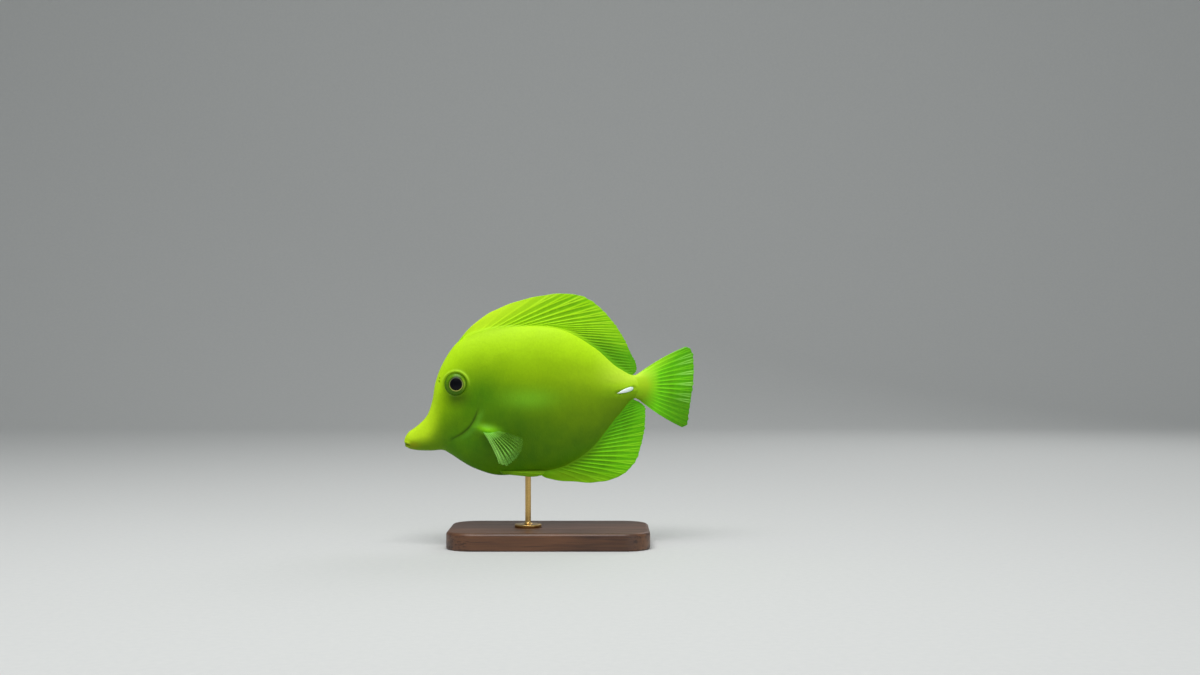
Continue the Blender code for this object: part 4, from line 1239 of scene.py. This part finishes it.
# %% Breast fins and pelvic fins
PECTORAL_RAYS, PECTORAL_BOW = 11, np.array((0.8, 1.6, 0.4))
PELVIC_RAYS, PELVIC_BOW = 6, np.array((0.0, 0.35, 0.0))
for side, prefix in ((-1, "left_"), (1, "right_")):
    mirror = np.array((1, side, 1))
    pectoral = fin_mesh(
        prefix + "pectoral",
        [spline(np.array(line) * mirror) for line in (PECTORAL_SUNK, PECTORAL_ROOT, PECTORAL_EDGE)],
        PECTORAL_RAYS,
        PECTORAL_THICK,
        even_streaks,
        bow=lambda shares: PECTORAL_BOW * mirror,
        notch=0.3,
        swell=(-0.5, 2.0),
        grow=6.0,
        wave=0.25 * side,
    )
    add_piece(prefix + "pectoral", pectoral, clear_paint, "clear_fin", prefix + "pectoral_fin")
    pelvic = fin_mesh(
        prefix + "pelvic",
        [spline(np.array(line) * mirror) for line in (PELVIC_SUNK, PELVIC_ROOT, PELVIC_EDGE)],
        PELVIC_RAYS,
        PELVIC_THICK,
        even_streaks,
        spines=1,
        bow=lambda shares: PELVIC_BOW * mirror,
        ragged=0.1,
    )
    add_piece(prefix + "pelvic", pelvic, small_paint, "fin", prefix + "pelvic_fin")

# %% [markdown]
# ## The blades of the tail
#
# Most surgeonfishes carry a folding spine on each side of the tail stem, its tip forward,
# lying in a groove. On a yellow tang it is white, which makes it stand out. It could be
# carved from a cone. Here a profile runs along a straight path and is flattened sideways,
# which gives the shape of a narrow leaf.

# %% Tail blades
BLADE_HALF_WIDTH, BLADE_FLATNESS, BLADE_LIFT = 1.1, 0.55, 0.05
BLADE_PROFILE = ((0, 0), (0.38, 0.16), (0.76, 0.38), (0.98, 0.62), (0.96, 0.8), (0.64, 0.94), (0, 1))


def blade_mesh(name, side):
    """Ring round each point of the path: radius times cos up, and 0.55 of it times sin out."""
    profile = spline(BLADE_PROFILE)(np.linspace(0, 1, 60))
    wide, far = np.clip(profile[:, 0], 0, None), profile[:, 1]
    turn = np.arange(40) * 2 * math.pi / 40
    ends = [(x, side * (flank(x, z) + BLADE_LIFT), z) for x, z in (BLADE_TIP, BLADE_HEEL)]
    tip, heel = np.array(ends[0]), np.array(ends[1])
    along = (heel - tip) / np.linalg.norm(heel - tip)
    out = np.array((0, side, 0)) - along * (side * along[1])
    out /= np.linalg.norm(out)
    up = np.cross(along, out)
    middle = tip + (heel - tip) * far[:, None]
    ring = np.cos(turn)[:, None] * up + BLADE_FLATNESS * np.sin(turn)[:, None] * out
    points = middle[:, None] + BLADE_HALF_WIDTH * wide[:, None, None] * ring[None]
    return grid_mesh(name, placed(points), {"length": far[:, None]})


def blade_finish():
    """Whites by the share of the length from the tip, and veins of noise along it."""
    made, tree, shader = finish("blade", Coat_Weight=0.3)
    veins = grain(tree, 900, (0.3, 1, 1.5), detail=4)
    colour = ramp(
        tree,
        mask(tree, "length"),
        ((0.0, screen(236, 250, 226)), (0.35, screen(248, 255, 255)), (1.0, screen(222, 244, 232))),
    )
    colour = mixed(tree, spread(tree, veins, 0.0, 0.3), colour, screen(206, 228, 214))
    wire(tree, shader, colour, spread(tree, veins, 0.25, 0.45), veins, depth=0.00005, strength=0.3)
    return made


blade_paint = blade_finish()
for name, side in (("left_blade", -1), ("right_blade", 1)):
    add_piece(name, blade_mesh(name, side), blade_paint, "blade", name.replace("_", "_tail_"))

# %% [markdown]
# ## The stand
#
# Small fish models stand on a slim metal rod in a wooden plate. The plate is cut from
# walnut, its corners and edges rounded over: rings of one rounded rectangle, set in by
# more or less, follow the section of the edge. The rod is turned brass
# with a foot that spreads its load, and its brushed lines run round it, as they would
# from a lathe.

# %% Walnut plate
BASE_SIZE, BASE_CORNER, TOP_ROUNDING, LOW_ROUNDING = np.array((104.0, 62.0)), 14.0, 1.8, 1.0
LOW_INSET, TOP_INSETS = 1.6, (2.4, 6.0)


def rounded_rectangle(inset, steps=24):
    """Corner centres plus radius times (cos, sin), the radius less by the inset."""
    angle = np.concatenate([np.linspace(0, math.pi / 2, steps) + k * math.pi / 2 for k in range(4)])
    corner = np.repeat(np.array(((1, 1), (-1, 1), (-1, -1), (1, -1))), steps, axis=0)
    centre = corner * (BASE_SIZE / 2 - BASE_CORNER)
    return centre + (BASE_CORNER - inset) * np.stack([np.cos(angle), np.sin(angle)], axis=-1)


def plate_mesh():
    """Section of the edge: a quarter circle at the top, a smaller one at the bottom."""
    height = BASE_TOP / MM
    quarter = np.linspace(0, math.pi / 2, 10)
    low = [(LOW_ROUNDING * (1 - math.sin(a)), LOW_ROUNDING * (1 - math.cos(a))) for a in quarter]
    top = [(TOP_ROUNDING * (1 - math.cos(a)), height - TOP_ROUNDING * (1 - math.sin(a))) for a in quarter]
    flat = [(inset, height) for inset in TOP_INSETS]
    section = [(LOW_INSET, 0.0), *low, (0.0, height / 2), *top, *flat]
    rings = [np.insert(rounded_rectangle(inset), 2, z, axis=1) for inset, z in section]
    return grid_mesh("plate", np.array(rings) * MM, caps=True)


def walnut():
    """Figure: 0.7 of a noise drawn out along the plate plus 0.45 of a slow one. Fine pores."""
    made, tree, shader = finish("walnut", Coat_Weight=0.15, Coat_Roughness=0.3)
    wander = grain(tree, 22, (0.25, 1, 1), detail=2)
    figure = times(tree, grain(tree, 140, (0.05, 1, 1), detail=5), 0.7)
    figure = maths(tree, "ADD", figure, times(tree, wander, 0.45))
    colour = ramp(
        tree,
        figure,
        (
            (0.3, screen(48, 28, 17)),
            (0.45, screen(76, 46, 28)),
            (0.56, screen(104, 66, 40)),
            (0.64, screen(72, 43, 26)),
            (0.75, screen(112, 74, 46)),
        ),
    )
    pores = falling(tree, grain(tree, 900, (0.03, 1, 1)), 0.36, 0.46)
    colour = mixed(tree, times(tree, pores, 0.6), colour, screen(40, 24, 17))
    rough = maths(tree, "ADD", spread(tree, figure, 0.36, 0.5), times(tree, pores, 0.15))
    height = maths(tree, "SUBTRACT", times(tree, figure, 0.3), pores)
    wire(tree, shader, colour, rough, height, depth=0.0001, strength=0.35)
    return made


add_piece("plate", plate_mesh(), walnut(), "stand_wood", "stand_base")

# %% Brass rod
ROD_PLACE, ROD_RADIUS = -11.0, 1.5
FLANGE_RADIUS, FLANGE_THICKNESS, FLANGE_FILLET, FLANGE_EDGE = 7.0, 1.6, 1.6, 0.4
CHAMFER_WIDTH, CHAMFER_HEIGHT = 0.3, 0.2
ROD_SIDES, ROD_RINGS, ROD_SINK = 96, 12, 1.2


def rod_mesh():
    """The section from the foot's rim, through a hollow quarter circle, up the rod."""
    foot, top = BASE_TOP / MM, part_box("stand_rod")[1].z / MM + ROD_SINK
    neck = foot + FLANGE_THICKNESS
    quarter = np.linspace(0, math.pi / 2, 9)
    rim = [
        (FLANGE_RADIUS - FLANGE_EDGE * (1 - math.cos(a)), neck - FLANGE_EDGE * (1 - math.sin(a)))
        for a in quarter
    ]
    hollow = [
        (ROD_RADIUS + FLANGE_FILLET * (1 - math.sin(a)), neck + FLANGE_FILLET * (1 - math.cos(a)))
        for a in quarter
    ]
    shaft = [(ROD_RADIUS, z) for z in np.linspace(neck + FLANGE_FILLET + 0.5, top, ROD_RINGS)]
    chamfer = [(FLANGE_RADIUS - CHAMFER_WIDTH, foot), (FLANGE_RADIUS, foot + CHAMFER_HEIGHT)]
    section = [*chamfer, *rim, *hollow, *shaft]
    radius, z = np.array(section).T
    turn = np.arange(ROD_SIDES) * 2 * math.pi / ROD_SIDES
    x = ROD_PLACE + radius[:, None] * np.cos(turn)
    y = radius[:, None] * np.sin(turn)
    points = np.stack([x, y, np.broadcast_to(z[:, None], x.shape)], axis=-1)
    return grid_mesh("rod", points * MM, caps=True)


def brass():
    """Noise that changes fast with the height draws the lines, and a slow one the tarnish."""
    made, tree, shader = finish("brass", Metallic=1.0, Anisotropic=0.4)
    lines = grain(tree, 2600, (0.04, 0.04, 1), detail=4)
    tarnish = grain(tree, 90, detail=3)
    colour = mixed(tree, tarnish, screen(222, 190, 120), screen(196, 158, 92))
    colour = mixed(tree, spread(tree, lines, 0.0, 0.35), colour, screen(150, 116, 62))
    rough = maths(tree, "ADD", spread(tree, lines, 0.2, 0.34), spread(tree, tarnish, -0.03, 0.06))
    wire(tree, shader, colour, rough, lines, depth=0.00004, strength=0.3)
    return made


add_piece("rod", rod_mesh(), brass(), "stand_brass", "stand_rod")

# %% [markdown]
# ## The room
#
# The floor is a pale sheet that curves up into a backdrop, so that no line crosses
# behind the fish. In the photograph the light falls from above, so the main light here
# is a wide, soft panel overhead and slightly in front. A weak panel at the camera's side
# lifts the belly, and one behind lights the far side. The camera looks level across the
# fish's left flank from almost a metre away, so the fish shows the side that the
# photograph shows.

# %% Floor and backdrop
FLOOR_FRONT, FLOOR_BACK, WALL_TOP, SWEEP_RADIUS, ROOM_SIDE = -1.6, 1.1, 2.2, 0.7, 3.0


def backdrop_mesh():
    """A flat floor, a quarter circle and a wall, drawn out sideways."""
    bend = np.linspace(0, math.pi / 2, 33)
    y = [[FLOOR_FRONT], FLOOR_BACK + SWEEP_RADIUS * np.sin(bend), [FLOOR_BACK + SWEEP_RADIUS]]
    z = [[0], SWEEP_RADIUS * (1 - np.cos(bend)), [WALL_TOP]]
    y, z = np.concatenate(y), np.concatenate(z)
    x = np.linspace(-ROOM_SIDE, ROOM_SIDE, 9)
    points = np.stack(np.broadcast_arrays(x[None], y[:, None], z[:, None]), axis=-1)
    mesh = bpy.data.meshes.new("backdrop")
    mesh.from_pydata(points.reshape(-1, 3).tolist(), [], quads_between(*points.shape[:2], False))
    mesh.shade_smooth()
    return mesh


def paper():
    """Two greys mixed by fine noise, which is the bump as well."""
    made, tree, shader = finish("paper", roughness=0.85)
    fibre = grain(tree, 300, detail=4)
    colour = mixed(tree, fibre, screen(206, 208, 207), screen(216, 217, 215))
    wire(tree, shader, colour, None, fibre, depth=0.00005, strength=0.2)
    return made


backdrop = put("backdrop", backdrop_mesh())
backdrop.data.materials.append(paper())


# %% Lights
def panel(name, place, target, size, watts):
    """A square area light that looks at its target."""
    light = bpy.data.lights.new(name, "AREA")
    light.size = size
    light.energy = watts
    lamp = put(name, light)
    lamp.location = place
    lamp.rotation_euler = (Vector(target) - Vector(place)).to_track_quat("-Z", "Y").to_euler()
    print(name, "light,", watts, "W")


MIDDLE = (0, 0, 0.085)
panel("overhead", (-0.1, -0.35, 1.0), MIDDLE, 0.7, 9)
panel("front", (0.9, -1.0, 0.3), MIDDLE, 0.8, 2.6)
panel("rear", (0.5, 0.8, 0.7), MIDDLE, 0.6, 2)
world = bpy.data.worlds.new("studio")
bpy.context.scene.world = world
world.use_nodes = True
world.node_tree.nodes["Background"].inputs["Color"].default_value = screen(226, 230, 232)
world.node_tree.nodes["Background"].inputs["Strength"].default_value = 0.36
bpy.context.scene.view_settings.view_transform = "Standard"

# %% Camera
LENS, SENSOR, PHOTO_WIDTH, PHOTO_HEIGHT, MM_A_PIXEL = 50.0, 36.0, 1200, 675, 0.52
FISH_PIXEL = (549.25, 386.5)
far = LENS / SENSOR * PHOTO_WIDTH * MM_A_PIXEL * MM
camera = put("camera", bpy.data.cameras.new("camera"))
camera.data.lens = LENS
camera.data.sensor_width = SENSOR
right = (PHOTO_WIDTH / 2 - FISH_PIXEL[0]) * MM_A_PIXEL * MM
down = (PHOTO_HEIGHT / 2 - FISH_PIXEL[1]) * MM_A_PIXEL * MM
camera.location = (right, -far, AXIS_HEIGHT - down)
camera.rotation_euler = (math.pi / 2, 0, 0)
bpy.context.scene.camera = camera
print("camera:", [round(value, 4) for value in camera.location])
